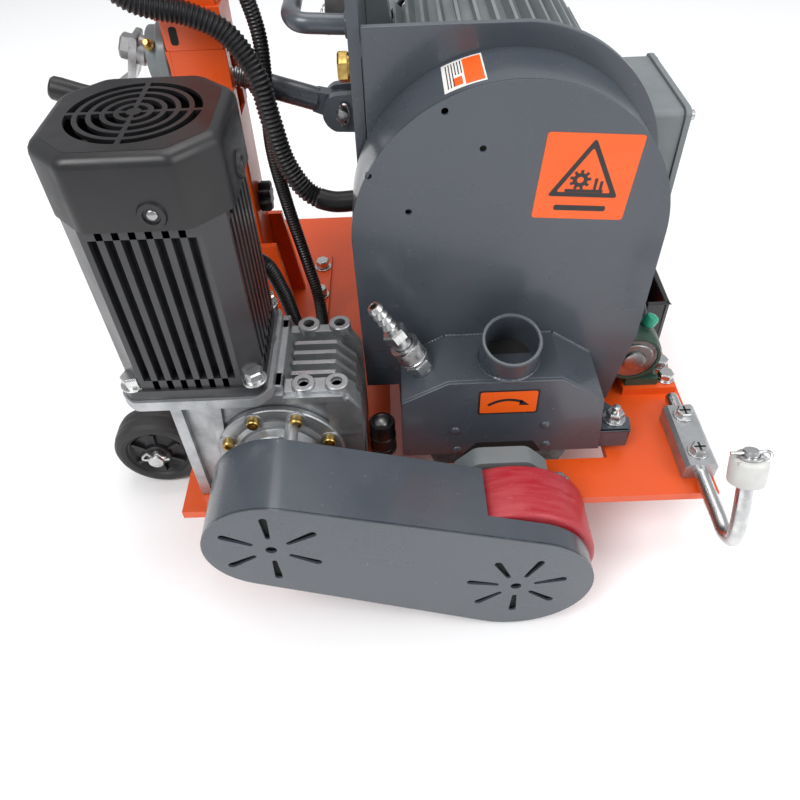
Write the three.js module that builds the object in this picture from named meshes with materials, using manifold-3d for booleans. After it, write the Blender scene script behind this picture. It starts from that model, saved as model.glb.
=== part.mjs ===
// Electric concrete grinder: a narrow cutter wheel on a swing frame, ahead of a driven wheel and a mast.
// Millimetres. +X is forward, +Y is the far side, +Z is up, and Z = 0 is the floor.
import * as THREE from "three";
import { mergeVertices } from "three/addons/utils/BufferGeometryUtils.js";
import Module from "manifold-3d";

const wasm = await Module();
wasm.setup();

// ---------------------------------------------------------------- driving dimensions
const ORIGIN_X = -108.5;
const ORIGIN_Y = 122.5;
const GAP = 0.3;

const PLATE_TOP = 75;
const PLATE_THICK = 8;
const PLATE = { rear: -200, front: 231, near: -81, far: 346 };
const CUT_OUT = { x0: -31, x1: 150, y0: -41, y1: 160 };

const WHEEL_X = 60;
const WHEEL_R = 62.5;
const WHEEL_Y0 = -130;
const WHEEL_Y1 = -84;
const IDLER_Y0 = 353;
const IDLER_Y1 = 391;

const REAR_X = -248;
const REAR_R = 40;
const REAR_NEAR_Y = 8;
const REAR_FAR_Y = 228;
const REAR_WIDTH = 30;

const GEAR_X = -113;
const GEAR_Z = 124;
const GEAR_FRONT = -64;
const MOTOR_X = -161;
const MOTOR_Y = -25;
const FLANGE_Z = 190;
const HOOD_Z = 332;

const GUARD_FRONT = -150;
const GUARD_DEPTH = 60;
const GUARD_R_LEFT = 47.5;
const GUARD_R_RIGHT = 57.5;
const SHEET = 2;

const PIVOT_X = 182;
const PIVOT_Z = 116;
const SPINDLE_X = 61;
const SPINDLE_Z = 84;
const CUTTER_R = 76;
const MAIN_X = 61;
const MAIN_Z = 255;
const MAIN_R = 100;
const CASE_FRONT = 17;
const CASE_BACK = 70;
const CASE_R = 112;
const BACK_PLATE = 6;

const MAST = { x0: -188, x1: -143, y0: 150, y1: 200, top: 700 };
const STRUT_Y = 175;
const BEARING_B = { x: -200, z: 332.5 };
const PIN_P = { x: -60, z: 286 };
const PIN_R = 5;
const PIN_CLEARANCE = 1.6;

const ROD_R = 6;
const ROD_X = 218;
const ROD_Z = 83.5;

// ---------------------------------------------------------------- solids
function solid(geometry) {
  const bare = geometry.clone();
  bare.deleteAttribute("normal");
  bare.deleteAttribute("uv");
  const merged = mergeVertices(bare, 1e-4);
  const mesh = new wasm.Mesh({
    numProp: 3,
    vertProperties: new Float32Array(merged.attributes.position.array),
    triVerts: new Uint32Array(merged.index.array),
  });
  return new wasm.Manifold(mesh);
}

function geometryOf(body) {
  const mesh = body.getMesh();
  const geometry = new THREE.BufferGeometry();
  const positions = new Float32Array(mesh.numVert * 3);
  for (let i = 0; i < mesh.numVert; i++) {
    for (let k = 0; k < 3; k++) {
      positions[3 * i + k] = mesh.vertProperties[mesh.numProp * i + k];
    }
  }
  geometry.setAttribute("position", new THREE.BufferAttribute(positions, 3));
  geometry.setIndex(new THREE.BufferAttribute(new Uint32Array(mesh.triVerts), 1));
  geometry.computeVertexNormals();
  return geometry;
}

function block(x0, x1, y0, y1, z0, z1) {
  const geometry = new THREE.BoxGeometry(x1 - x0, y1 - y0, z1 - z0);
  geometry.translate((x0 + x1) / 2, (y0 + y1) / 2, (z0 + z1) / 2);
  return solid(geometry);
}

// Thicker rounds get more facets.
function facets(radius) {
  return 2 * Math.max(radius < 3 ? 3 : 4, Math.round(1.3 * Math.sqrt(radius)));
}

// A cylinder or cone whose axis runs between two points.
function bar(from, to, radius, endRadius = radius, sides = facets(radius)) {
  const a = new THREE.Vector3(...from);
  const b = new THREE.Vector3(...to);
  const geometry = new THREE.CylinderGeometry(endRadius, radius, a.distanceTo(b), sides);
  const turn = new THREE.Quaternion().setFromUnitVectors(
    new THREE.Vector3(0, 1, 0),
    b.clone().sub(a).normalize(),
  );
  geometry.applyQuaternion(turn);
  const middle = a.clone().add(b).multiplyScalar(0.5);
  geometry.translate(middle.x, middle.y, middle.z);
  return solid(geometry);
}

// A cylinder along Y, centred on x and z.
function barY(x, z, y0, y1, radius) {
  return bar([x, y0, z], [x, y1, z], radius);
}

// A cylinder along Z, centred on x and y.
function barZ(x, y, z0, z1, radius) {
  return bar([x, y, z0], [x, y, z1], radius);
}

// The same for a hole: the flats of its facets lie at the radius, so a round of that size fits.
function bore(from, to, radius) {
  return bar(from, to, radius / Math.cos(Math.PI / facets(radius)));
}

function boreY(x, z, y0, y1, radius) {
  return bore([x, y0, z], [x, y1, z], radius);
}

function boreZ(x, y, z0, z1, radius) {
  return bore([x, y, z0], [x, y, z1], radius);
}

// A flat outline in X and Z, given thickness along Y.
function slabXZ(points, y0, y1) {
  const shape = new THREE.Shape(points.map(([x, z]) => new THREE.Vector2(x, z)));
  const geometry = new THREE.ExtrudeGeometry(shape, { depth: y1 - y0, bevelEnabled: false });
  geometry.rotateX(Math.PI / 2);
  geometry.translate(0, y1, 0);
  return solid(geometry);
}

// A flat outline in X and Y, given thickness along Z.
function slabXY(points, z0, z1) {
  const shape = new THREE.Shape(points.map(([x, y]) => new THREE.Vector2(x, y)));
  const geometry = new THREE.ExtrudeGeometry(shape, { depth: z1 - z0, bevelEnabled: false });
  geometry.translate(0, 0, z0);
  return solid(geometry);
}

// A round tube or cable along a smooth curve through the given points.
function sweep(points, radius, sides, steps) {
  const curve = new THREE.CatmullRomCurve3(
    points.map((p) => new THREE.Vector3(...p)),
    false,
    "centripetal",
  );
  const ring = new THREE.Shape();
  for (let i = 0; i < sides; i++) {
    const angle = (2 * Math.PI * i) / sides;
    const x = radius * Math.cos(angle);
    const y = radius * Math.sin(angle);
    if (i === 0) {
      ring.moveTo(x, y);
    } else {
      ring.lineTo(x, y);
    }
  }
  ring.closePath();
  return solid(new THREE.ExtrudeGeometry(ring, { steps, extrudePath: curve, bevelEnabled: false }));
}

// Points of an arc in degrees, anticlockwise when the end angle is larger.
function arc(cx, cy, radius, from, to, count) {
  const points = [];
  for (let i = 0; i <= count; i++) {
    const angle = THREE.MathUtils.degToRad(from + ((to - from) * i) / count);
    points.push([cx + radius * Math.cos(angle), cy + radius * Math.sin(angle)]);
  }
  return points;
}

// A rectangle with chamfered corners.
function chamfered(cx, cy, halfX, halfY, chamfer) {
  return [
    [cx - halfX + chamfer, cy - halfY],
    [cx + halfX - chamfer, cy - halfY],
    [cx + halfX, cy - halfY + chamfer],
    [cx + halfX, cy + halfY - chamfer],
    [cx + halfX - chamfer, cy + halfY],
    [cx - halfX + chamfer, cy + halfY],
    [cx - halfX, cy + halfY - chamfer],
    [cx - halfX, cy - halfY + chamfer],
  ];
}

// The outline round two circles joined by their outer tangents.
function beltOutline(ax, az, ar, bx, bz, br, count) {
  const distance = Math.hypot(bx - ax, bz - az);
  const line = THREE.MathUtils.radToDeg(Math.atan2(bz - az, bx - ax));
  const wrap = THREE.MathUtils.radToDeg(Math.acos((ar - br) / distance));
  return [
    ...arc(ax, az, ar, line + wrap, line + 360 - wrap, count),
    ...arc(bx, bz, br, line - wrap, line + wrap, count),
  ];
}

function joined(bodies) {
  return bodies.reduce((sum, body) => sum.add(body));
}

function cut(body, tools) {
  return tools.reduce((rest, tool) => rest.subtract(tool), body);
}

// ---------------------------------------------------------------- scene graph
const group = new THREE.Group();
group.position.set(-ORIGIN_X, -ORIGIN_Y, 0);

const ORANGE = 0xf26a1b;
const GREY_PAINT = 0x55595f;
const BLACK_PAINT = 0x1d1e20;
const MOTOR_GREY = 0x7f878a;
const ALUMINIUM = 0xb9bcbd;
const ZINC = 0xc4c6c4;
const STEEL = 0x8f9193;
const BLACK_PLASTIC = 0x151515;
const RED_TYRE = 0xb0182f;
const NYLON = 0xf0f0ec;
const GREEN_CAST = 0x2f5a45;

function add(name, body, color, roughness, metalness, parent = group) {
  const material = new THREE.MeshStandardMaterial({ color, roughness, metalness });
  const mesh = new THREE.Mesh(geometryOf(body), material);
  mesh.name = name;
  parent.add(mesh);
  return mesh;
}

function placed(x, y, z) {
  const holder = new THREE.Group();
  holder.position.set(x, y, z);
  group.add(holder);
  return holder;
}

function hexHead(from, to, radius) {
  return bar(from, to, radius, radius, 6);
}

// ---------------------------------------------------------------- base plate and wheels
const plateBottom = PLATE_TOP - PLATE_THICK;
const basePlate = cut(
  block(PLATE.rear, PLATE.front, PLATE.near, PLATE.far, plateBottom, PLATE_TOP),
  [
    block(CUT_OUT.x0, CUT_OUT.x1, CUT_OUT.y0, CUT_OUT.y1, 60, 80),
    block(16.5, 93.5, PLATE.near - 5, -56, 60, 80),
    block(20, 100, 318, PLATE.far + 5, 60, 80),
  ],
);
// The driven wheel turns in a cast block that stands in a notch of the plate.
function wheelBracket(y0, y1) {
  const centre = 55;
  const profile = [
    [centre - 37, 40],
    [centre + 37, 40],
    [centre + 37, 104],
    [centre + 20, 122],
    [centre - 20, 122],
    [centre - 37, 104],
  ];
  const body = joined([
    slabXZ(profile, y0, y1),
    block(2, 20, y0 + 4, y1 - 1, PLATE_TOP, 83),
    block(90, 112, y0 + 4, y1 - 1, PLATE_TOP, 83),
    hexHead([102, (y0 + y1) / 2, 82], [102, (y0 + y1) / 2, 89], 7),
    hexHead([10, (y0 + y1) / 2, 82], [10, (y0 + y1) / 2, 89], 7),
  ]);
  return cut(body, [boreY(WHEEL_X, WHEEL_R, y0 - 5, y1 + 5, 11)]);
}
add("drive_wheel_bracket", wheelBracket(-80, -64), MOTOR_GREY, 0.5, 0.3);

function wheelTyre(y0, y1) {
  const body = barY(0, 0, y0 + 4, y1 - 4, WHEEL_R);
  const edges = joined([
    body,
    bar([0, y0, 0], [0, y0 + 4, 0], WHEEL_R - 4, WHEEL_R),
    bar([0, y1, 0], [0, y1 - 4, 0], WHEEL_R - 4, WHEEL_R),
  ]);
  return cut(edges, [boreY(0, 0, y0 - 1, y1 + 1, 47)]);
}

function wheelRim(y0, y1) {
  return cut(barY(0, 0, y0 + 2, y1 - 2, 48), [boreY(0, 0, y0, y1, 44)]);
}

function wheelHub(y0, y1) {
  const rim = cut(barY(0, 0, y0 + 1, y1 - 1, 46.7), [
    boreY(0, 0, y0 - 1, y0 + 8, 40),
    boreY(0, 0, y1 - 8, y1 + 1, 40),
  ]);
  const body = joined([rim, barY(0, 0, y0 + 1, y1 - 1, 19)]);
  return cut(body, [boreY(0, 0, y0 - 1, y1 + 1, 10.3)]);
}

const driveWheel = placed(WHEEL_X, 0, WHEEL_R);
add("drive_wheel_tyre", wheelTyre(WHEEL_Y0, WHEEL_Y1), RED_TYRE, 0.45, 0, driveWheel);
const driveHub = joined([
  wheelHub(WHEEL_Y0, WHEEL_Y1),
  barY(0, 0, -146.5, -60, 10.6),
  barY(0, 0, -63.4, -60, 13),
  barY(0, 0, -143, -136.5, 33),
  barY(0, 0, -136.6, WHEEL_Y0 + 3, 19),
]);
add("drive_wheel_hub", driveHub, 0x8a5b3c, 0.5, 0.3, driveWheel);

// The far wheel idles on a stub axle.
const idlerWheel = cut(
  joined([wheelTyre(IDLER_Y0, IDLER_Y1), wheelHub(IDLER_Y0, IDLER_Y1), wheelRim(IDLER_Y0, IDLER_Y1)]),
  [boreY(0, 0, IDLER_Y0 - 1, IDLER_Y1 + 1, 10.3)],
);
add("idler_wheel", idlerWheel, RED_TYRE, 0.45, 0, placed(WHEEL_X, 0, WHEEL_R));
const idlerBracket = joined([
  slabXZ([[23, 42], [97, 42], [97, 92], [80, 104], [40, 104], [23, 92]], 322, 349),
  block(6, 24, 326, 345, PLATE_TOP, 83),
  block(96, 114, 326, 345, PLATE_TOP, 83),
  barY(WHEEL_X, WHEEL_R, 348, 394, 10),
  barY(WHEEL_X, WHEEL_R, 391.6, 395, 15),
]);
add("idler_wheel_bracket", idlerBracket, MOTOR_GREY, 0.5, 0.3);

// Two small rear wheels turn on one fixed axle.
function rearWheel(name, y) {
  const tyre = joined([
    barY(0, 0, 5, REAR_WIDTH - 5, REAR_R),
    bar([0, 0, 0], [0, 5, 0], REAR_R - 6, REAR_R),
    bar([0, REAR_WIDTH, 0], [0, REAR_WIDTH - 5, 0], REAR_R - 6, REAR_R),
  ]);
  const dished = cut(tyre, [
    boreY(0, 0, -1, 6, 24),
    boreY(0, 0, REAR_WIDTH - 6, REAR_WIDTH + 1, 24),
  ]);
  const wheel = cut(joined([dished, barY(0, 0, 0, REAR_WIDTH, 12)]), [
    boreY(0, 0, -1, REAR_WIDTH + 1, 7.4),
  ]);
  add(name, wheel, 0x1b1c1e, 0.7, 0, placed(REAR_X, y, REAR_R));
}
rearWheel("rear_wheel_near", REAR_NEAR_Y);
rearWheel("rear_wheel_far", REAR_FAR_Y);

const axle = joined([
  barY(REAR_X, REAR_R, 0, 266, 7),
  bar([REAR_X - 11, 4, REAR_R], [REAR_X + 11, 4, REAR_R], 1.6),
  bar([REAR_X - 11, 262, REAR_R], [REAR_X + 11, 262, REAR_R], 1.6),
]);
add("rear_axle", axle, ZINC, 0.35, 0.9);

function axleArm(y0, y1) {
  const profile = [
    [-178, 68],
    [-200, 68],
    ...arc(REAR_X, REAR_R, 15, 120, 260, 10),
    [-236, 26],
    [-178, 54],
  ];
  return slabXZ(profile, y0, y1);
}
const axleBracket = cut(
  joined([axleArm(44, 50), axleArm(216, 222), block(-200, -178, 44, 222, 60, 68)]),
  [boreY(REAR_X, REAR_R, 30, 240, 7.3)],
);

// The pads under the pivot bearings are bolted down at their front ends.
function bearingPad(y0, y1) {
  return joined([
    block(179, 227, y0, y1, PLATE_TOP - 1, 83),
    barZ(219, y0 + 11, 82, 86, 8),
    barZ(219, y1 - 11, 82, 86, 8),
    hexHead([219, y0 + 11, 85], [219, y0 + 11, 92], 7.2),
    hexHead([219, y1 - 11, 85], [219, y1 - 11, 92], 7.2),
  ]);
}
add(
  "base_plate",
  joined([basePlate, axleBracket, bearingPad(30, 70), bearingPad(212, 252)]),
  ORANGE,
  0.35,
  0.1,
);

// ---------------------------------------------------------------- travel drive
const gearProfile = [
  [-186, 76],
  [-56, 76],
  [-50, 82],
  [-50, 166],
  [-60, 184],
  [-104, 184],
  [-104, FLANGE_Z],
  [-186, FLANGE_Z],
];
const gearBody = cut(slabXZ(gearProfile, -58, 21), [
  block(-98, -40, -44, 7, 172, 200),
  slabXZ([[-66, 186], [-30, 186], [-30, 120], [-57, 140]], -44, 7),
  boreY(GEAR_X, GEAR_Z, -70, -20, 13),
  block(-64, -40, 15.5, 30, 70, 200),
]);
const ribs = [-37, -26, -15, -4].map((y) =>
  slabXZ([[-100, 170], [-100, 183], [-68, 183], [-54, 168], [-52, 140], [-60, 140]], y - 2, y + 2),
);
const gearHousing = joined([gearBody, ...ribs, block(-198, -120, -66, 16, 186, FLANGE_Z)]);
add("gearbox_housing", gearHousing, ALUMINIUM, 0.45, 0.7);

const coverScrews = arc(GEAR_X, GEAR_Z, 41, 22.5, 337.5, 7).map(([x, z]) =>
  barY(x, z, GEAR_FRONT - 6, GEAR_FRONT + 1, 5),
);
const gearCover = cut(
  joined([
    barY(GEAR_X, GEAR_Z, GEAR_FRONT, -58.3, 48),
    barY(GEAR_X, GEAR_Z, -74, GEAR_FRONT + 1, 30),
    ...coverScrews,
  ]),
  [boreY(GEAR_X, GEAR_Z, -80, -50, 12.9)],
);

const outputShaft = joined([
  barY(GEAR_X, GEAR_Z, -146.5, -22, 12.5),
  barY(GEAR_X, GEAR_Z, -143, -136.5, 26),
  barY(GEAR_X, GEAR_Z, -136.6, -128, 19),
]);
add("gearbox_output_sprocket", outputShaft, STEEL, 0.4, 0.9);

const chain = cut(
  slabXZ(beltOutline(GEAR_X, GEAR_Z, 32.5, WHEEL_X, WHEEL_R, 39.5, 12), -144.5, -135),
  [slabXZ(beltOutline(GEAR_X, GEAR_Z, 26.6, WHEEL_X, WHEEL_R, 33.6, 12), -150, -130)],
);
add("drive_chain", chain, STEEL, 0.5, 0.9);

// The chain guard is a deep pan, cut low behind its lip where the wheel stands.
const guardOutline = (shrink) =>
  beltOutline(
    GEAR_X,
    GEAR_Z,
    GUARD_R_LEFT - shrink,
    WHEEL_X,
    WHEEL_R,
    GUARD_R_RIGHT - shrink,
    14,
  );
const guardBack = GUARD_FRONT + GUARD_DEPTH;
const lipBack = GUARD_FRONT + 18;
function guardSlots(cx, cz, count, turn) {
  const slots = [barY(cx, cz, GUARD_FRONT - 1, GUARD_FRONT + 3, 4)];
  for (let i = 0; i < count; i++) {
    const angle = turn + (2 * Math.PI * i) / count;
    const along = [Math.cos(angle), Math.sin(angle)];
    const across = [-along[1], along[0]];
    const corner = (r, w) => [
      cx + r * along[0] + w * across[0],
      cz + r * along[1] + w * across[1],
    ];
    slots.push(
      slabXZ(
        [corner(14, -1.6), corner(37, -2.8), corner(37, 2.8), corner(14, 1.6)],
        GUARD_FRONT - 1,
        GUARD_FRONT + 3,
      ),
    );
  }
  return slots;
}
const chainGuard = cut(slabXZ(guardOutline(0), GUARD_FRONT, guardBack), [
  slabXZ(guardOutline(SHEET), GUARD_FRONT + SHEET, guardBack + 1),
  block(38, 200, lipBack, guardBack + 5, -20, 200),
  block(-20, 60, lipBack, guardBack + 5, -20, 62),
  ...guardSlots(GEAR_X, GEAR_Z, 6, Math.PI / 2),
  ...guardSlots(WHEEL_X, WHEEL_R, 7, -Math.PI / 2),
]);
add("chain_guard", chainGuard, GREY_PAINT, 0.4, 0.3);

const guardBracket = cut(
  joined([
    barY(GEAR_X, GEAR_Z, -98, -95, 45),
    ...[70, 190, 310].map((degrees) => {
      const [x, z] = arc(GEAR_X, GEAR_Z, 36, degrees, degrees, 1)[0];
      return barY(x, z, -96, GEAR_FRONT + 1, 5);
    }),
  ]),
  [boreY(GEAR_X, GEAR_Z, -110, -60, 31)],
);
add("gearbox_cover", joined([gearCover, guardBracket]), ALUMINIUM, 0.4, 0.8);

const flangeBolts = [-1, 1].flatMap((sx) =>
  [-1, 1].flatMap((sy) => {
    const x = MOTOR_X + 41 * sx;
    const y = MOTOR_Y + 41 * sy;
    return [
      barZ(x, y, FLANGE_Z + 6, FLANGE_Z + 18, 9),
      hexHead([x, y, FLANGE_Z + 17], [x, y, FLANGE_Z + 24], 7.5),
    ];
  }),
);
const adapter = joined([
  slabXY(chamfered(MOTOR_X, MOTOR_Y, 52, 52, 10), FLANGE_Z, FLANGE_Z + 8),
  ...flangeBolts,
]);
const motorFlange = cut(
  joined([
    slabXY(chamfered(MOTOR_X, MOTOR_Y, 49, 49, 4), FLANGE_Z + 8.3, FLANGE_Z + 16),
    slabXY(chamfered(MOTOR_X, MOTOR_Y, 47, 47, 14), FLANGE_Z + 15, HOOD_Z - 0.3),
  ]),
  [-1, 1].flatMap((sx) =>
    [-1, 1].map((sy) =>
      block(
        MOTOR_X + (sx > 0 ? 31 : -60),
        MOTOR_X + (sx > 0 ? 60 : -31),
        MOTOR_Y + (sy > 0 ? 31 : -60),
        MOTOR_Y + (sy > 0 ? 60 : -31),
        FLANGE_Z + 8,
        FLANGE_Z + 26,
      ),
    ),
  ),
);
add("gearbox_motor_adapter", adapter, ALUMINIUM, 0.4, 0.8);

const motorGrooves = [];
for (let i = -2; i <= 2; i++) {
  motorGrooves.push(block(MOTOR_X + 12 * i - 3, MOTOR_X + 12 * i + 3, -80, -66, 214, HOOD_Z - 7));
  motorGrooves.push(block(MOTOR_X + 12 * i - 3, MOTOR_X + 12 * i + 3, 16, 30, 214, HOOD_Z - 7));
  motorGrooves.push(block(MOTOR_X + 41, MOTOR_X + 60, MOTOR_Y + 12 * i - 3, MOTOR_Y + 12 * i + 3, 214, HOOD_Z - 7));
  motorGrooves.push(block(MOTOR_X - 60, MOTOR_X - 41, MOTOR_Y + 12 * i - 3, MOTOR_Y + 12 * i + 3, 214, HOOD_Z - 7));
}
const driveMotor = cut(motorFlange, [
  ...motorGrooves,
  boreZ(MOTOR_X, MOTOR_Y, 216, HOOD_Z + 10, 34),
]);
add("drive_motor_body", driveMotor, BLACK_PAINT, 0.5, 0.3);

const driveRotor = joined([
  barZ(MOTOR_X, MOTOR_Y, 222, HOOD_Z - 1, 28),
  barZ(MOTOR_X, MOTOR_Y, HOOD_Z - 2, 362, 6),
]);

function fanWheel(cx, cy, hubRadius, tipRadius, bore, z0, z1, blades) {
  const parts = [barZ(cx, cy, z0, z1, hubRadius), barZ(cx, cy, z0, z0 + 2, tipRadius - 3)];
  for (let i = 0; i < blades; i++) {
    const angle = (2 * Math.PI * i) / blades;
    const blade = new THREE.BoxGeometry(tipRadius - hubRadius + 2, 2, z1 - z0);
    blade.translate((tipRadius + hubRadius - 2) / 2, 0, (z0 + z1) / 2);
    blade.rotateZ(angle);
    blade.translate(cx, cy, 0);
    parts.push(solid(blade));
  }
  return cut(joined(parts), [boreZ(cx, cy, z0 - 5, z1 + 5, bore)]);
}
const driveFan = fanWheel(MOTOR_X, MOTOR_Y, 11, 42, 5, HOOD_Z + 12, HOOD_Z + 28, 8);
add("drive_motor_rotor", joined([driveRotor, driveFan]), STEEL, 0.4, 0.9);

const fanCoverOuter = joined([
  slabXY(chamfered(MOTOR_X, MOTOR_Y, 52, 52, 22), HOOD_Z, 372),
  slabXY(chamfered(MOTOR_X, MOTOR_Y, 48, 48, 20), 371, 376),
]);
const grille = [18, 27, 36].map((radius) =>
  cut(barZ(MOTOR_X, MOTOR_Y, 362, 380, radius), [
    boreZ(MOTOR_X, MOTOR_Y, 361, 381, radius - 4.5),
    block(MOTOR_X - 2.5, MOTOR_X + 2.5, MOTOR_Y - 50, MOTOR_Y + 50, 361, 381),
    block(MOTOR_X - 50, MOTOR_X + 50, MOTOR_Y - 2.5, MOTOR_Y + 2.5, 361, 381),
  ]),
);
const fanCover = cut(fanCoverOuter, [
  slabXY(chamfered(MOTOR_X, MOTOR_Y, 49.5, 49.5, 21), HOOD_Z - 1, 369),
  ...grille,
]);
const fanCoverScrews = [
  bar([MOTOR_X + 12, -79, 342], [MOTOR_X + 12, -75, 342], 6),
  bar([MOTOR_X + 50, -25, 342], [MOTOR_X + 54, -25, 342], 6),
];
add("drive_motor_fan_cover", joined([fanCover, ...fanCoverScrews]), BLACK_PAINT, 0.5, 0.2);

// ---------------------------------------------------------------- swing frame pivot
function pivotBearing(y0, y1) {
  const middle = (y0 + y1) / 2;
  const body = joined([
    barY(PIVOT_X, PIVOT_Z, y0 + 5, y1 - 5, 25.5),
    barY(PIVOT_X, PIVOT_Z, y0, y1, 17),
    slabXZ([[180, 83], [210, 83], [210, 91], [205, 94], [205, 112], [182, 112]], y0 + 2, y1 - 2),
    bar([PIVOT_X, middle, PIVOT_Z], [PIVOT_X + 11, middle, PIVOT_Z + 25], 6),
    bar([PIVOT_X + 10.6, middle, PIVOT_Z + 24], [PIVOT_X + 15.4, middle, PIVOT_Z + 35], 6.2, 8),
  ]);
  return cut(body, [boreY(PIVOT_X, PIVOT_Z, y0 - 5, y1 + 5, 10.3)]);
}
add("pivot_bearing_near", pivotBearing(32, 68), GREEN_CAST, 0.6, 0.2);
add("pivot_bearing_far", pivotBearing(214, 250), GREEN_CAST, 0.6, 0.2);

const sideBracket = joined([
  block(206, 226, 88, 92, PLATE_TOP, 132),
  block(222, 226, 88, 140, PLATE_TOP, 132),
  block(206, 226, 136, 140, PLATE_TOP, 132),
  block(206, 226, 88, 140, PLATE_TOP, 80),
]);
add("front_stop_bracket", sideBracket, BLACK_PAINT, 0.5, 0.3);

// ---------------------------------------------------------------- swing frame
const backTop = 382;
const backOutline = [
  [-37, 112],
  [176, 112],
  [177, 205],
  ...arc(MAIN_X + 2, MAIN_Z + 14, 113, -5, 85, 14),
  [20, backTop],
  [-37, backTop],
];
const spindleHole = barY(SPINDLE_X, SPINDLE_Z, 0, 100, 26);
const backPlate = cut(
  joined([
    slabXZ(backOutline, CASE_BACK, CASE_BACK + BACK_PLATE),
    block(-12, 134, CASE_BACK, CASE_BACK + BACK_PLATE, 42, 120),
    barY(PIVOT_X, PIVOT_Z, CASE_BACK, CASE_BACK + BACK_PLATE, 24),
  ]),
  [
    boreY(MAIN_X, MAIN_Z, 0, 100, 36),
    spindleHole,
    boreY(PIVOT_X, PIVOT_Z, 0, 100, 10.3),
  ],
);
add("belt_back_plate", backPlate, GREY_PAINT, 0.4, 0.3);

// The belt case: a front sheet with a wall round it, narrow at the foot beside the pivot bearing.
const caseSide = [
  ...arc(MAIN_X, MAIN_Z, CASE_R, 0, 180, 20),
  [-49, 113],
];
const frontOutline = [...caseSide, [-12, 113], [-12, 44], [130, 44], [130, 86], [160, 86], [172, 160]];
const wallOutline = [...caseSide, [-12, 113], [-12, 44], [130, 44], [130, 86], [150, 100], [150, 150], [171, 190]];
const wallInner = [
  ...arc(MAIN_X, MAIN_Z, CASE_R - SHEET, 0, 180, 20),
  [-47, 115],
  [-10, 115],
  [-10, 46],
  [128, 46],
  [128, 88],
  [148, 101],
  [148, 150],
  [169, 190],
];
const caseHoles = [[12, 352], [39, 324], [-36, 308], [-10, 280]].map(([x, z]) =>
  barY(x, z, CASE_FRONT - 5, CASE_FRONT + 5, 2.4),
);
const beltGuard = cut(
  joined([
    slabXZ(frontOutline, CASE_FRONT, CASE_FRONT + SHEET),
    slabXZ(wallOutline, CASE_FRONT + 1, CASE_BACK - GAP),
  ]),
  [
    slabXZ(wallInner, CASE_FRONT + SHEET, CASE_BACK + 1),
    boreY(SPINDLE_X, SPINDLE_Z, 0, 30, 22),
    ...caseHoles,
  ],
);
add("belt_guard", beltGuard, GREY_PAINT, 0.4, 0.3);

// Cutter housing: open below and at the back, with a dust port, a hose socket and an ear.
const housingOuter = [
  [-21, 83],
  [-20, 146],
  [16, 166],
  [102, 166],
  [137, 142],
  [142, 83],
];
const housingInner = [
  [-18, 80],
  [-17, 144.5],
  [16.8, 163],
  [101, 163],
  [134.2, 140.4],
  [139, 80],
];
const portBase = [63, -11, 160];
const portTop = [63, -24, 196];
const hoseBase = [-2, -10, 156];
const hoseAxis = [-0.485, 0, 0.874];
function alongHose(distance) {
  return hoseBase.map((value, i) => value + hoseAxis[i] * distance);
}
const ear = joined([
  slabXY([[141.5, 1], [152, 1], [169, -20], [166, -34], [140.5, -34]], 97, 100),
  slabXZ([[140.8, 81], [166, 81], [166, 100], [139.2, 100]], -34, -31),
  barZ(156, -20, 99, 102, 9.5),
  hexHead([156, -20, 101], [156, -20, 108], 7.5),
  barZ(156, -20, 107, 114, 4),
]);
const housingShell = cut(slabXZ(housingOuter, -38, CASE_FRONT - GAP), [
  slabXZ(housingInner, -35, CASE_FRONT + 5),
  bore(portBase, portTop, 19.5),
  bore(alongHose(-10), alongHose(10), 4),
]);

const vacuumPort = cut(bar([63, -9, 155], portTop, 22.5), [
  bore([63, -7, 150], [63, -26, 202], 19.5),
  slabXZ([[0, 100], [130, 100], [130, 165], [0, 165]], -60, 40),
]);
add("cutter_housing", joined([housingShell, ear, vacuumPort]), GREY_PAINT, 0.4, 0.3);

// Quick coupler for the water hose: socket, sliding sleeve and barbed tail.
const couplerSocket = cut(
  joined([
    bar(alongHose(0.4), alongHose(5), 9),
    hexHead(alongHose(4), alongHose(12), 11),
    bar(alongHose(11), alongHose(40), 7.5),
  ]),
  [bore(alongHose(-5), alongHose(45), 3.5)],
);
const couplerSleeve = cut(bar(alongHose(14), alongHose(31), 11.5), [
  bore(alongHose(10), alongHose(40), 7.8),
]);
add("water_coupler_sleeve", couplerSleeve, ZINC, 0.25, 1);
const barbTail = cut(
  joined([
    hexHead(alongHose(39), alongHose(48), 10),
    bar(alongHose(47), alongHose(74), 4.6),
    ...[53, 60, 67].map((at) => bar(alongHose(at), alongHose(at + 5), 6.2, 4.8)),
  ]),
  [bore(alongHose(30), alongHose(80), 3)],
);
add("water_coupler", joined([couplerSocket, barbTail]), ZINC, 0.25, 1);

// ---------------------------------------------------------------- cutter spindle and belt drive
const spindle = joined([
  barY(SPINDLE_X, SPINDLE_Z, -33, 152, 12.5),
  barY(SPINDLE_X, SPINDLE_Z, 12, 20, 17),
]);
add("spindle_shaft", spindle, STEEL, 0.35, 0.9);
const cartridge = cut(
  joined([
    barY(SPINDLE_X, SPINDLE_Z, CASE_BACK + BACK_PLATE + GAP, 148, 33),
    barY(SPINDLE_X, SPINDLE_Z, CASE_BACK + BACK_PLATE + GAP, 88, 38),
  ]),
  [boreY(SPINDLE_X, SPINDLE_Z, 60, 160, 12.9)],
);
add("spindle_bearing_housing", cartridge, MOTOR_GREY, 0.5, 0.4);

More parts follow.
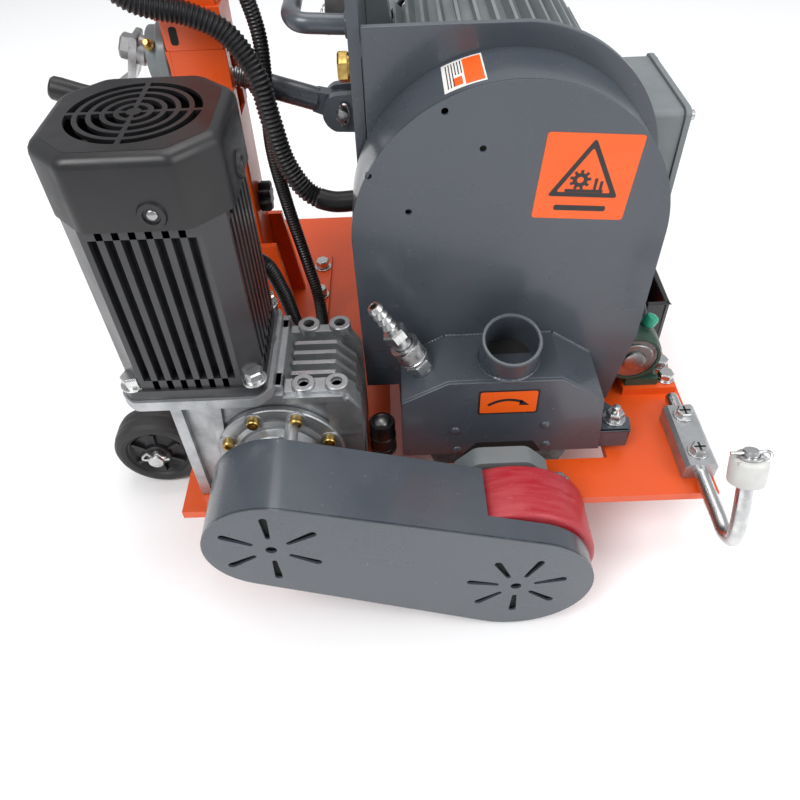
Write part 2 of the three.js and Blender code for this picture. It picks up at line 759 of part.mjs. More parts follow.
const cutterOutline = [];
for (let i = 0; i < 12; i++) {
  const start = 30 * i;
  cutterOutline.push(...arc(0, 0, CUTTER_R, start, start + 11, 3));
  cutterOutline.push(...arc(0, 0, 60, start + 15, start + 26, 2));
}
const cutterWheel = cut(slabXZ(cutterOutline, -27, 9), [
  boreY(0, 0, -40, 20, 12.8),
  ...arc(0, 0, 38, 0, 300, 5).map(([x, z]) => boreY(x, z, -40, 20, 8)),
]);
add("cutter_wheel", cutterWheel, STEEL, 0.5, 0.8, placed(SPINDLE_X, 0, SPINDLE_Z));

function pulley(x, z, radius, bore) {
  return cut(barY(x, z, 26, 62, radius), [
    boreY(x, z, 20, 70, bore),
    cut(boreY(x, z, 30, 58, radius + 5), [barY(x, z, 29, 59, radius - 6)]),
  ]);
}
add("motor_pulley", pulley(MAIN_X, MAIN_Z, 44, 14.3), STEEL, 0.5, 0.8);
add("spindle_pulley", pulley(SPINDLE_X, SPINDLE_Z, 34, 12.8), STEEL, 0.5, 0.8);
const belt = cut(slabXZ(beltOutline(MAIN_X, MAIN_Z, 46, SPINDLE_X, SPINDLE_Z, 36, 12), 31, 57), [
  slabXZ(beltOutline(MAIN_X, MAIN_Z, 39.8, SPINDLE_X, SPINDLE_Z, 29.8, 12), 30, 58),
]);
add("drive_belt", belt, 0x161616, 0.8, 0);

// ---------------------------------------------------------------- main motor and its bracket
const uprightOuter = -46;
const uprightInner = -38;
const motorBracket = cut(
  joined([
    block(uprightOuter, uprightInner, CASE_BACK + BACK_PLATE + GAP, 286, 122, 420),
    block(uprightInner - 2, 172, CASE_BACK + BACK_PLATE + GAP, 206, 122, 130),
    barY(PIVOT_X, PIVOT_Z, CASE_BACK + BACK_PLATE + GAP, 206, 20),
    block(150, 182, CASE_BACK + BACK_PLATE + GAP, 206, 116, 130),
    ...[160, 182].map((y) =>
      joined([
        barY(PIN_P.x, PIN_P.z, y, y + 8, 16),
        block(PIN_P.x, uprightOuter + 2, y, y + 8, PIN_P.z - 16, PIN_P.z + 16),
      ]),
    ),
  ]),
  [
    boreY(SPINDLE_X, SPINDLE_Z, 60, 220, 39),
    boreY(PIN_P.x, PIN_P.z, 150, 200, PIN_R + 0.3),
  ],
);

const clevisPin = joined([
  barY(PIN_P.x, PIN_P.z, 155, 195, PIN_R),
  barY(PIN_P.x, PIN_P.z, 190.5, 195, 8),
  bar([PIN_P.x, 157, PIN_P.z - 8], [PIN_P.x, 157, PIN_P.z + 10], 1.4),
]);
add("clevis_pin", clevisPin, ZINC, 0.3, 0.9);

function footBolt(y, z) {
  return joined([
    bar([uprightOuter + 1, y, z], [uprightOuter - 3, y, z], 13),
    hexHead([uprightOuter - 2.5, y, z], [uprightOuter - 11, y, z], 11),
  ]);
}
const handleTube = sweep(
  [
    [uprightOuter - 0.5, 92, 377],
    [-62, 92, 378],
    [-78, 94, 379],
    [-84, 104, 380],
    [-85, 125, 380],
    [-85, 215, 380],
    [-84, 236, 380],
    [-78, 246, 379],
    [-62, 248, 378],
    [uprightOuter - 0.5, 248, 377],
  ],
  6.5,
  8,
  18,
);
add("lifting_handle", handleTube, GREY_PAINT, 0.4, 0.3);
const buffer = joined([
  bar([uprightOuter + 1, 128, 372], [-62, 128, 372], 13),
  bar([-60, 128, 372], [-66, 128, 372], 6),
]);
const bracketParts = [
  motorBracket,
  barY(PIVOT_X, PIVOT_Z, 29, 253, 10),
  footBolt(112, 342),
  footBolt(252, 342),
  footBolt(112, 172),
  footBolt(252, 172),
  buffer,
];
add("motor_bracket", joined(bracketParts), GREY_PAINT, 0.4, 0.3);

const motorLength = { y0: 100, y1: 296 };
const frameTube = cut(
  joined([
    barY(MAIN_X, MAIN_Z, motorLength.y0, motorLength.y1, MAIN_R - 4),
    ...arc(0, 0, 1, 15, 150, 7).map(([c, s]) => motorFin(c, s)),
    ...arc(0, 0, 1, 205, 335, 4).map(([c, s]) => motorFin(c, s)),
    block(uprightInner + GAP, -20, 106, 136, 165, 350),
    block(uprightInner + GAP, -20, 236, 268, 165, 350),
  ]),
  [boreY(MAIN_X, MAIN_Z, 50, 340, 84)],
);
function motorFin(c, s) {
  const fin = new THREE.BoxGeometry(14, motorLength.y1 - motorLength.y0 - 24, 3);
  fin.translate(MAIN_R - 1, 0, 0);
  fin.rotateY(-Math.atan2(s, c));
  fin.translate(MAIN_X, (motorLength.y0 + motorLength.y1) / 2, MAIN_Z);
  return solid(fin);
}

function endShield(y0, y1, bore) {
  return cut(barY(MAIN_X, MAIN_Z, y0, y1, 86), [boreY(MAIN_X, MAIN_Z, y0 - 5, y1 + 5, bore)]);
}
const mainRotor = joined([
  barY(MAIN_X, MAIN_Z, 24, 336, 14),
  barY(MAIN_X, MAIN_Z, 130, 262, 52),
]);
const mainFan = fanWheel(0, 0, 22, 76, 10, 0, 24, 9).rotate([-90, 0, 0]).translate([MAIN_X, 306, MAIN_Z]);
add("main_motor_rotor", joined([mainRotor, mainFan]), STEEL, 0.4, 0.9);
const stator = cut(barY(MAIN_X, MAIN_Z, 134, 258, 85), [boreY(MAIN_X, MAIN_Z, 120, 270, 53)]);
const mainFanCover = cut(barY(MAIN_X, MAIN_Z, motorLength.y1 + GAP, 362, 101), [
  boreY(MAIN_X, MAIN_Z, motorLength.y1 - 5, 360, 99),
  ...[46, 70].map((radius) =>
    cut(boreY(MAIN_X, MAIN_Z, 355, 370, radius), [
      boreY(MAIN_X, MAIN_Z, 350, 375, radius - 7),
      block(MAIN_X - 4, MAIN_X + 4, 350, 375, 100, 400),
      block(MAIN_X - 100, MAIN_X + 100, 350, 375, MAIN_Z - 4, MAIN_Z + 4),
    ]),
  ),
]);
add("main_motor_fan_cover", mainFanCover, MOTOR_GREY, 0.5, 0.3);

const terminalBox = cut(
  joined([block(150, 196, 104, 190, 215, 295), block(168.5, 196, 92, 202, 198, 308)]),
  [block(172, 200, 97, 197, 203, 303), boreY(MAIN_X, MAIN_Z, 50, 340, 90)],
);
const motorParts = [
  frameTube,
  stator,
  endShield(motorLength.y0 - 4, 112, 14.4),
  endShield(282, motorLength.y1, 14.4),
  terminalBox,
];
add("main_motor_frame", joined(motorParts), MOTOR_GREY, 0.5, 0.3);
const terminalCover = joined([
  block(196 + GAP, 202, 90, 204, 196, 310),
  ...[[97, 203], [97, 303], [197, 203], [197, 303]].map(([y, z]) =>
    bar([201.5, y, z], [204.5, y, z], 4),
  ),
]);
add("terminal_box_cover", terminalCover, MOTOR_GREY, 0.5, 0.3);

// ---------------------------------------------------------------- mast and handlebar
const strutLength = Math.hypot(PIN_P.x - BEARING_B.x, PIN_P.z - BEARING_B.z);
const strutAxis = [(PIN_P.x - BEARING_B.x) / strutLength, 0, (PIN_P.z - BEARING_B.z) / strutLength];
function alongStrut(distance, side = 0) {
  return [
    BEARING_B.x + strutAxis[0] * distance + strutAxis[2] * side,
    STRUT_Y,
    BEARING_B.z + strutAxis[2] * distance - strutAxis[0] * side,
  ];
}
const mastFoot = joined([
  block(-200, -93, 136, 264, PLATE_TOP, 80),
  slabXZ([[-196, 79], [-119, 79], [-131, 172], [-190, 172]], 144, MAST.y0 - GAP),
  slabXZ([[-196, 79], [-119, 79], [-131, 172], [-190, 172]], MAST.y1 + GAP, 206),
  barZ(-102, 188, 79, 84, 9),
  barZ(-102, 238, 79, 84, 9),
  hexHead([-102, 188, 83], [-102, 188, 90], 7.5),
  hexHead([-102, 238, 83], [-102, 238, 90], 7.5),
]);
add("mast_foot", mastFoot, ORANGE, 0.35, 0.1);

const mastTube = cut(
  joined([
    block(MAST.x0, MAST.x1, MAST.y0, MAST.y1, 80 + GAP, MAST.top),
    block(MAST.x0 - 2, MAST.x1 + 2, MAST.y0 - 2, MAST.y1 + 2, 366, 374),
  ]),
  [
    block(MAST.x0 + 3, MAST.x1 - 3, MAST.y0 + 3, MAST.y1 - 3, 60, MAST.top + 10),
    block(-196, -130, STRUT_Y - 12, STRUT_Y + 12, 287, 344),
    block(-182, -176, MAST.y0 - 10, MAST.y0 + 4, 348, 361),
  ],
);
add("mast", mastTube, ORANGE, 0.35, 0.1);

// The jack screw passes through the mast. Its bearing tilts in the flange on the mast's rear face.
const bearingHouse = cut(
  joined([
    bar([-188.3, STRUT_Y, BEARING_B.z], [-196, STRUT_Y, BEARING_B.z], 27),
    bar([-195, STRUT_Y, BEARING_B.z], [-205.5, STRUT_Y, BEARING_B.z], 22),
    bar([-200, STRUT_Y - 12, 340], [-200, STRUT_Y - 28, 351], 2.8),
  ]),
  [bore([-180, STRUT_Y, BEARING_B.z], [-215, STRUT_Y, BEARING_B.z], 16.6)],
);
add("jack_bearing_flange", bearingHouse, MOTOR_GREY, 0.5, 0.4);
const jackBush = cut(bar(alongStrut(-5), alongStrut(5), 15), [
  bore(alongStrut(-10), alongStrut(10), 8.3),
]);
add("jack_bearing_insert", jackBush, STEEL, 0.35, 0.9);

const grip = { start: -36, end: -84, side: 50 };
const crank = joined([
  bar(alongStrut(-28), alongStrut(118), 8),
  bar(alongStrut(-9), alongStrut(-22.6), 11),
  hexHead(alongStrut(-21.4), alongStrut(-30), 10),
  crankArm(),
  bar(alongStrut(grip.start + 8, grip.side), alongStrut(grip.end + 6, grip.side), 5),
]);
function crankArm() {
  const low = alongStrut(grip.start + 4, grip.side + 9);
  const lowOut = alongStrut(grip.start, grip.side + 9);
  const points = [
    alongStrut(-22, -12),
    alongStrut(-22, 20),
    alongStrut(-36, 36),
    lowOut,
    low,
    alongStrut(-30, 38),
    alongStrut(-16, 22),
    alongStrut(-16, -12),
  ].map(([x, , z]) => [x, z]);
  return slabXZ(points, STRUT_Y - 11, STRUT_Y + 11);
}
add("jack_crank", crank, STEEL, 0.4, 0.8);
const gripBody = cut(bar(alongStrut(grip.start - 1, grip.side), alongStrut(grip.end, grip.side), 9.5), [
  bore(alongStrut(grip.start + 5, grip.side), alongStrut(grip.end + 4, grip.side), 5.4),
]);
add("jack_crank_grip", gripBody, BLACK_PLASTIC, 0.4, 0);

function tubeTongue() {
  const points = [[-30, -8], [-30, 8], [0, 10], [0, -10]].map(([back, side]) => {
    const [x, , z] = alongStrut(strutLength + back, side);
    return [x, z];
  });
  return slabXZ(points, STRUT_Y - 6.5, STRUT_Y + 6.5);
}
const strutTube = cut(
  joined([
    bar(alongStrut(72), alongStrut(strutLength - 21), 9.5),
    tubeTongue(),
    bar([PIN_P.x, STRUT_Y - 6.5, PIN_P.z], [PIN_P.x, STRUT_Y + 6.5, PIN_P.z], 12),
  ]),
  [
    bore(alongStrut(60), alongStrut(124), 8.4),
    boreY(PIN_P.x, PIN_P.z, 150, 200, PIN_R + PIN_CLEARANCE),
  ],
);
add("jack_tube", strutTube, GREY_PAINT, 0.4, 0.3);

const knobLobes = arc(0, 0, 10, 0, 315, 7).map(([y, z]) =>
  bar([-142, STRUT_Y + y, 206 + z], [-132, STRUT_Y + y, 206 + z], 4),
);
const knob = joined([bar([-142.7, STRUT_Y, 206], [-132, STRUT_Y, 206], 11), ...knobLobes]);
add("mast_knob", knob, BLACK_PLASTIC, 0.5, 0);

const handlebar = joined([
  block(MAST.x0 + 3.5, MAST.x1 - 3.5, MAST.y0 + 3.5, MAST.y1 - 3.5, 640, MAST.top + 4),
  sweep([[-165, 175, MAST.top], [-170, 175, 724], [-186, 175, 752], [-240, 175, 790]], 15, 10, 5),
  sweep(
    [
      [-440, -20, 838],
      [-330, -20, 808],
      [-262, -14, 792],
      [-240, 6, 788],
      [-238, 60, 788],
      [-238, 290, 788],
      [-240, 344, 788],
      [-262, 364, 792],
      [-330, 370, 808],
      [-440, 370, 838],
    ],
    12,
    8,
    22,
  ),
]);
add("handlebar", handlebar, ORANGE, 0.35, 0.1);

function handGrip(y) {
  const direction = new THREE.Vector3(-110, 0, 30).normalize();
  const end = new THREE.Vector3(-446, y, 839.6);
  const start = end.clone().addScaledVector(direction, -112);
  const bored = end.clone().addScaledVector(direction, -4);
  return cut(bar(start.toArray(), end.toArray(), 16), [
    bore(start.clone().addScaledVector(direction, -5).toArray(), bored.toArray(), 12.8),
  ]);
}
add("hand_grip_near", handGrip(-20), BLACK_PLASTIC, 0.7, 0);
add("hand_grip_far", handGrip(370), BLACK_PLASTIC, 0.7, 0);

// Control box on the rear face of the mast, with a start button and an emergency stop.
const controlBox = cut(block(-272, MAST.x0 - GAP, 115, 235, 560, 690), [
  block(-268, -196, 119, 231, 564, 686),
  bore([-280, 150, 660], [-260, 150, 660], 8.4),
  bore([-280, 175, 605], [-260, 175, 605], 8.4),
]);
add("control_box", controlBox, 0xd8d8d4, 0.5, 0);
function pushButton(y, z, head, travel) {
  return joined([
    bar([-262, y, z], [-272 - travel - 1, y, z], 8),
    bar([-272 - travel, y, z], [-284, y, z], head),
    bar([-262, y, z], [-264, y, z], 11),
  ]);
}
add("start_button", pushButton(150, 660, 11, 4), 0x1e8f3c, 0.4, 0);
add("emergency_stop", pushButton(175, 605, 19, 5), 0xc01818, 0.4, 0);

// ---------------------------------------------------------------- guide rod, stop and conduits
const clampBlock = cut(
  joined([
    slabXZ([[205, 75], [231, 75], [231, 89], [228, 92], [208, 92], [205, 89]], -66, 0),
    ...[-52, -12].flatMap((y) => [
      barZ(ROD_X, y, 91, 93.5, 8.5),
      barZ(ROD_X, y, 93, 99, 6.5),
    ]),
  ]),
  [boreY(ROD_X, ROD_Z, -80, 10, ROD_R + 0.4)],
);
add("guide_clamp_block", clampBlock, ALUMINIUM, 0.4, 0.8);
const guideRod = sweep(
  [
    [ROD_X, 18, ROD_Z],
    [ROD_X, -40, ROD_Z],
    [ROD_X, -105, ROD_Z],
    [ROD_X, -126, ROD_Z + 1],
    [ROD_X, -134, ROD_Z + 8],
    [ROD_X, -133, ROD_Z + 20],
    [ROD_X, -108.7, ROD_Z + 79.2],
  ],
  ROD_R - 0.2,
  8,
  16,
);
add("guide_rod", guideRod, STEEL, 0.35, 0.9);
const legAxis = new THREE.Vector3(0, 23, 56).normalize();
function alongLeg(distance) {
  return [ROD_X, -133 + legAxis.y * distance, ROD_Z + 20 + legAxis.z * distance];
}
const roller = cut(bar(alongLeg(38), alongLeg(58), 13), [bore(alongLeg(10), alongLeg(80), ROD_R + 0.8)]);
add("guide_roller", roller, NYLON, 0.4, 0);
const rollerClip = cut(
  joined([
    bar(alongLeg(58.6), alongLeg(60), 9),
    bar([ROD_X - 15, alongLeg(61.6)[1], alongLeg(61.6)[2]], [ROD_X + 15, alongLeg(61.6)[1], alongLeg(61.6)[2]], 1.6),
    bar([ROD_X - 9, ...alongLeg(59).slice(1)], [ROD_X - 9, ...alongLeg(62).slice(1)], 1.6),
    bar([ROD_X + 9, ...alongLeg(59).slice(1)], [ROD_X + 9, ...alongLeg(62).slice(1)], 1.6),
  ]),
  [bore(alongLeg(10), alongLeg(80), ROD_R + 0.3)],
);
add("roller_retaining_clip", rollerClip, ZINC, 0.3, 0.9);

const bumpStop = joined([
  barZ(-37, -21, PLATE_TOP, 109, 11),
  barZ(-37, -21, 108, 113, 7.5),
]);
add("bump_stop", bumpStop, BLACK_PLASTIC, 0.6, 0);

const mainConduit = sweep(
  [
    [-240, 140, 559],
    [-243, 139, 520],
    [-243, 137, 470],
    [-230, 135, 420],
    [-200, 134, 386],
    [-160, 134, 374],
    [-138, 134, 362],
    [-124, 130, 344],
    [-117, 126, 328],
    [-112, 122, 299],
    [-105, 118, 267],
    [-90, 114, 243],
    [-72, 110, 236],
    [uprightOuter - 0.5, 110, 236],
  ],
  8.5,
  8,
  30,
);
add("main_motor_conduit", mainConduit, BLACK_PLASTIC, 0.6, 0);
const driveConduit = sweep(
  [
    [-215, 158, 558.5],
    [-215, 152, 520],
    [-200, 138, 480],
    [-150, 139, 440],
    [-128, 147, 402],
    [-117, 155, 356],
    [-118, 156, 310],
    [-122, 160, 260],
    [-118, 168, 200],
    [-108, 166, 140],
    [-100, 155, 104],
    [-96, 128, 92],
    [-98, 96, 96],
    [-106, 66, 130],
    [-114, 54, 190],
    [-122, 46, 222],
    [-134, 36, 236],
    [-134, 23.2, 236],
  ],
  6,
  8,
  36,
);
add("drive_motor_conduit", driveConduit, BLACK_PLASTIC, 0.6, 0);

export default group;
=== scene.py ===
import math

import bmesh
import bpy
import numpy as np
from mathutils import Matrix, Vector, geometry


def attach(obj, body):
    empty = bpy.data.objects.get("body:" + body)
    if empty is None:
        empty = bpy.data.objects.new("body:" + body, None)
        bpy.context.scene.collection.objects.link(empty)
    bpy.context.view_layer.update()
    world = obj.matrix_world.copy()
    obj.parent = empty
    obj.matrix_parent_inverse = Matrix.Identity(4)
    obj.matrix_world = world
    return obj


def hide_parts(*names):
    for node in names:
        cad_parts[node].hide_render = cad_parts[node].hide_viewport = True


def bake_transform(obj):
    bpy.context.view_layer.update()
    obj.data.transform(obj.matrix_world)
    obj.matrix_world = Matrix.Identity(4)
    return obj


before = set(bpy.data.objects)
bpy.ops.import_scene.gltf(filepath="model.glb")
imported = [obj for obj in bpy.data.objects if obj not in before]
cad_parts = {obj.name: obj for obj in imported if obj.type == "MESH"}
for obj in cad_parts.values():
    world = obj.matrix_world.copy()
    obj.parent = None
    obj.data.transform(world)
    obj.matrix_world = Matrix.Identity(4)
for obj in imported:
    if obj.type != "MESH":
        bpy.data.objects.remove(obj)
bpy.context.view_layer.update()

FRAME_SHIFT = np.array([108.5, -122.5, 0.0])

# ------------------------------------------------------------------ camera
CAMERA_SPOT = (-17.6, -415.0, 545.0)
CAMERA_TURN = math.radians(-0.55)
CAMERA_DIP = math.radians(46.27)
CAMERA_ROLL = math.radians(-2.6)
FOCAL_LENGTH, SENSOR_WIDTH = 32.04, 36


def set_camera():
    """The view direction has azimuth CAMERA_TURN and dips by CAMERA_DIP; the view rolls by CAMERA_ROLL."""
    ahead = Vector((
        math.sin(CAMERA_TURN) * math.cos(CAMERA_DIP),
        math.cos(CAMERA_TURN) * math.cos(CAMERA_DIP),
        -math.sin(CAMERA_DIP),
    ))
    level = Vector((math.cos(CAMERA_TURN), -math.sin(CAMERA_TURN), 0))
    upright = level.cross(ahead)
    right = math.cos(CAMERA_ROLL) * level + math.sin(CAMERA_ROLL) * upright
    up = -math.sin(CAMERA_ROLL) * level + math.cos(CAMERA_ROLL) * upright
    lens = bpy.data.cameras.new("studio_camera")
    lens.lens = FOCAL_LENGTH
    lens.sensor_width = SENSOR_WIDTH
    lens.clip_start = 0.01
    camera = bpy.data.objects.new("studio_camera", lens)
    turn = Matrix((right, up, -ahead)).transposed().to_4x4()
    place = (np.array(CAMERA_SPOT) + FRAME_SHIFT) / 1000
    camera.matrix_world = Matrix.Translation(place) @ turn
    bpy.context.scene.collection.objects.link(camera)
    bpy.context.scene.camera = camera


set_camera()


# ------------------------------------------------------------------ surfaces
def grid_faces(rows, columns, close_rows=False, close_columns=False):
    """Four-cornered faces of a grid: corner (r, c) has number r * columns + c, and a closed side wraps
    round."""
    r = np.arange(rows if close_rows else rows - 1)
    c = np.arange(columns if close_columns else columns - 1)
    a, b = np.meshgrid(r, c, indexing="ij")
    a2 = (a + 1) % rows
    b2 = (b + 1) % columns
    corners = [a * columns + b, a2 * columns + b, a2 * columns + b2, a * columns + b2]
    return np.stack(corners, -1).reshape(-1, 4).tolist()


def frame_along(axis):
    """Two unit vectors square to the axis and to each other."""
    axis = np.asarray(axis, float) / np.linalg.norm(axis)
    helper = np.array([0.0, 0.0, 1.0]) if abs(axis[2]) < 0.9 else np.array([1.0, 0.0, 0.0])
    across = np.cross(helper, axis)
    across /= np.linalg.norm(across)
    return axis, across, np.cross(axis, across)


def turned(profile, start, axis, count=48, phase=0.0):
    """A profile of distances along the axis and radii carried round it: start, plus the distance along
    the axis,
    plus the radius times the cosine and sine of the turn along two directions square to the axis.
    A profile that starts and ends off the axis closes on itself as a ring."""
    profile = np.asarray(profile, float)
    axis, across, over = frame_along(axis)
    t = np.linspace(0, 2 * np.pi, count, endpoint=False) + phase
    ring = np.cos(t)[:, None] * across + np.sin(t)[:, None] * over
    corners = (
        np.asarray(start, float)
        + profile[:, 0, None, None] * axis
        + profile[:, 1, None, None] * ring[None]
    )
    ringed = profile[0, 1] > 1e-6 or profile[-1, 1] > 1e-6
    return corners.reshape(-1, 3), grid_faces(len(profile), count, ringed, True)


def turned_y(profile, x, z, count=64):
    """A turned piece on an axis along y, with the profile's first numbers read as y."""
    return turned(profile, (x, 0, z), (0, 1, 0), count)


def collar(y0, y1, bore, radius, edge):
    """Profile of a plain ring from y0 up to y1, its outer edges cut back by the edge both ways."""
    return [(y0, bore), (y0, radius - edge), (y0 + edge, radius), (y1 - edge, radius), (y1, radius - edge),
            (y1, bore)]


def turned_z(profile, x, y, count=48):
    """A turned piece on an upright axis, with the profile's first numbers read as z."""
    return turned(profile, (x, y, 0), (0, 0, 1), count)


def rod(start, end, radius, count=24, round_edge=0.6):
    """A straight bar between two points with slightly rounded end edges."""
    start = np.asarray(start, float)
    length = float(np.linalg.norm(np.asarray(end, float) - start))
    e = min(round_edge, radius * 0.4, length * 0.3)
    profile = [
        (0, 0), (0, radius - e), (0.3 * e, radius - 0.3 * e), (e, radius),
        (length - e, radius), (length - 0.3 * e, radius - 0.3 * e), (length, radius - e), (length, 0),
    ]
    return turned(profile, start, np.asarray(end, float) - start, count)


PLANES = {"xz": (0, 2, 1), "xy": (0, 1, 2), "yz": (1, 2, 0)}


def flat_triangles(rings):
    """Delaunay triangles over the flat region inside the first ring and outside the others, as corner
    numbers.
    A triangle lies in a hole when the rays from its middle cross that hole's sides an odd number of times."""
    flat = np.vstack(rings)
    edges, base = [], 0
    for ring in rings:
        edges += [(base + i, base + (i + 1) % len(ring)) for i in range(len(ring))]
        base += len(ring)
    points, _, faces, origins, _, _ = geometry.delaunay_2d_cdt([Vector(p) for p in flat], edges, [], 1, 1e-7,
                                                               True)
    if len(points) != len(flat):
        return [list(f) for f in geometry.tessellate_polygon([[Vector((p[0], p[1],
                                                                       0)) for p in r] for r in rings])]
    kept = []
    for face in faces:
        corners = [origins[i][0] for i in face]
        x, y = flat[corners].mean(0)
        inside = []
        for ring in rings:
            a, b = ring, np.roll(ring, -1, 0)
            straddle = (a[:, 1] > y) != (b[:, 1] > y)
            step = np.where(straddle, b[:, 1] - a[:, 1], 1)
            inside.append(int((straddle & (x < a[:,
                                                 0] + (b[:, 0] - a[:, 0]) * (y - a[:, 1]) / step)).sum()) % 2)
        if inside[0] and not any(inside[1:]):
            kept.append(corners)
    return kept


def prism(outline, low, high, plane="xz", holes=()):
    """A flat outline with holes, given thickness from low to high square to its plane."""
    first, second, depth = PLANES[plane]
    rings = [np.asarray(r, float) for r in (outline, *holes)]
    flat = np.vstack(rings)
    count = len(flat)
    corners = np.zeros((2 * count, 3))
    corners[:, first] = np.tile(flat[:, 0], 2)
    corners[:, second] = np.tile(flat[:, 1], 2)
    corners[:count, depth] = low
    corners[count:, depth] = high
    fill = flat_triangles(rings)
    faces = [list(f) for f in fill] + [[i + count for i in reversed(f)] for f in fill]
    base = 0
    for r in rings:
        i = np.arange(len(r)) + base
        j = np.roll(i, -1)
        faces += np.stack([i, j, j + count, i + count], -1).tolist()
        base += len(r)
    return corners, faces


def rectangle(u0, u1, v0, v1):
    """Four corners between two limits each way, starting at the lowest pair."""
    return [(u0, v0), (u1, v0), (u1, v1), (u0, v1)]


def block(x0, x1, y0, y1, z0, z1):
    """A rectangle in x and z given thickness along y."""
    return prism(rectangle(x0, x1, z0, z1), y0, y1)


def arc(cx, cy, radius, start, end, count):
    """Points of an arc, in degrees."""
    t = np.radians(np.linspace(start, end, count + 1))
    return np.stack([cx + radius * np.cos(t), cy + radius * np.sin(t)], -1).tolist()


def polar(cx, cy, radius, degrees):
    """One point at a distance and an angle from a centre."""
    return arc(cx, cy, radius, degrees, degrees, 1)[0]


def circle(cx, cy, radius, count=32):
    """A full turn of an arc, without its repeated last point."""
    return arc(cx, cy, radius, 0, 360, count)[:-1]


def rounded(points, radius, count=5):
    """A polygon whose corners are replaced by arcs (quadratic curves between points set back by the
    radius)."""
    p = np.asarray(points, float)
    back = np.roll(p, 1, 0) - p
    ahead = np.roll(p, -1, 0) - p
    lb = np.linalg.norm(back, axis=1, keepdims=True)
    la = np.linalg.norm(ahead, axis=1, keepdims=True)
    a = p + back / lb * np.minimum(radius, lb * 0.45)
    b = p + ahead / la * np.minimum(radius, la * 0.45)
    t = np.linspace(0, 1, count + 1)[None, :, None]
    curve = (1 - t) ** 2 * a[:, None] + 2 * t * (1 - t) * p[:, None] + t ** 2 * b[:, None]
    return curve.reshape(-1, 2).tolist()


def chamfered(cx, cy, half, cut):
    """A square whose four corners are cut off, as eight points on its sides."""
    return [
        (cx - half + cut, cy - half), (cx + half - cut, cy - half), (cx + half, cy - half + cut),
        (cx + half, cy + half - cut), (cx + half - cut, cy + half), (cx - half + cut, cy + half),
        (cx - half, cy + half - cut), (cx - half, cy - half + cut),
    ]


def belt_outline(ax, az, ar, bx, bz, br, count=40):
    """Two circles joined by their outer tangents."""
    distance = math.hypot(bx - ax, bz - az)
    line = math.degrees(math.atan2(bz - az, bx - ax))
    wrap = math.degrees(math.acos((ar - br) / distance))
    return arc(ax, az, ar, line + wrap, line + 360 - wrap, count) + arc(bx, bz, br, line - wrap, line + wrap,
                                                                        count)


def smooth_path(points, steps):
    """A centripetal Catmull-Rom curve through the points, with steps points in all, evenly spaced."""
    p = np.asarray(points, float)
    p = np.vstack([2 * p[0] - p[1], p, 2 * p[-1] - p[-2]])
    knots = np.concatenate([[0], np.cumsum(np.sqrt(np.linalg.norm(np.diff(p, axis=0), axis=1)))])
    fine = []
    for i in range(1, len(p) - 2):
        k0, k1, k2, k3 = knots[i - 1:i + 3]
        t = np.linspace(k1, k2, 24, endpoint=False)[:, None]
        a1 = (k1 - t) / (k1 - k0) * p[i - 1] + (t - k0) / (k1 - k0) * p[i]
        a2 = (k2 - t) / (k2 - k1) * p[i] + (t - k1) / (k2 - k1) * p[i + 1]
        a3 = (k3 - t) / (k3 - k2) * p[i + 1] + (t - k2) / (k3 - k2) * p[i + 2]
        b1 = (k2 - t) / (k2 - k0) * a1 + (t - k0) / (k2 - k0) * a2
        b2 = (k3 - t) / (k3 - k1) * a2 + (t - k1) / (k3 - k1) * a3
        fine.append((k2 - t) / (k2 - k1) * b1 + (t - k1) / (k2 - k1) * b2)
    fine = np.vstack([*fine, p[-2:-1]])
    s = np.concatenate([[0], np.cumsum(np.linalg.norm(np.diff(fine, axis=0), axis=1))])
    at = np.linspace(0, s[-1], steps)
    return np.stack([np.interp(at, s, fine[:, k]) for k in range(3)], -1), s[-1]


def swept(path, radius, sides=16):
    """A round section carried along a path, turned as little as possible from step to step. Ends are
    flat caps."""
    path = np.asarray(path, float)
    radius = np.broadcast_to(radius, len(path))
    tangent = np.gradient(path, axis=0)
    tangent /= np.linalg.norm(tangent, axis=1, keepdims=True)
    _, across, _ = frame_along(tangent[0])
    sides_of = []
    for t in tangent:
        across = across - t * np.dot(across, t)
        across = across / np.linalg.norm(across)
        sides_of.append(across)
    across = np.array(sides_of)
    over = np.cross(tangent, across)
    a = np.linspace(0, 2 * np.pi, sides, endpoint=False)
    ring = np.cos(a)[None, :, None] * across[:, None] + np.sin(a)[None, :, None] * over[:, None]
    body = path[:, None] + radius[:, None, None] * ring
    caps = [np.repeat(path[i][None, None], sides, 1) for i in (0, -1)]
    corners = np.concatenate([caps[0], body, caps[1]])
    return corners.reshape(-1, 3), grid_faces(len(corners), sides, False, True)


def hexagon(at, axis, across_flats, height, phase=0.0):
    """A hexagon head with a turned chamfer on its outer face."""
    r = across_flats / math.sqrt(3)
    rows = [(0, 0), (0, r), (0.82 * height, r), (height, 0.86 * r), (height, 0)]
    return turned(rows, at, axis, 6, phase)


def washer(at, axis, radius, thickness=1.6):
    """A turned disc whose edges are cut back a little."""
    return turned(collar(0, thickness, 0, radius, 0.3), at, axis, 28)


def bolt(at, axis, across_flats, height, washer_radius=0.0, stud=0.0, phase=0.3):
    """Washer, spring washer, hexagon and stud end, stacked along the axis from the seat."""
    at = np.asarray(at, float)
    axis = np.asarray(axis, float) / np.linalg.norm(axis)
    shells = []
    lift = 0.0
    if washer_radius:
        shells.append(washer(at, axis, washer_radius))
        shells.append(washer(at + axis * 1.5, axis, across_flats * 0.52, 1.8))
        lift = 3.1
    shells.append(hexagon(at + axis * lift, axis, across_flats, height, phase))
    if stud:
        top = at + axis * (lift + height - 0.5)
        shells.append(rod(top, top + axis * stud, across_flats * 0.27, 16, 1.0))
    return shells


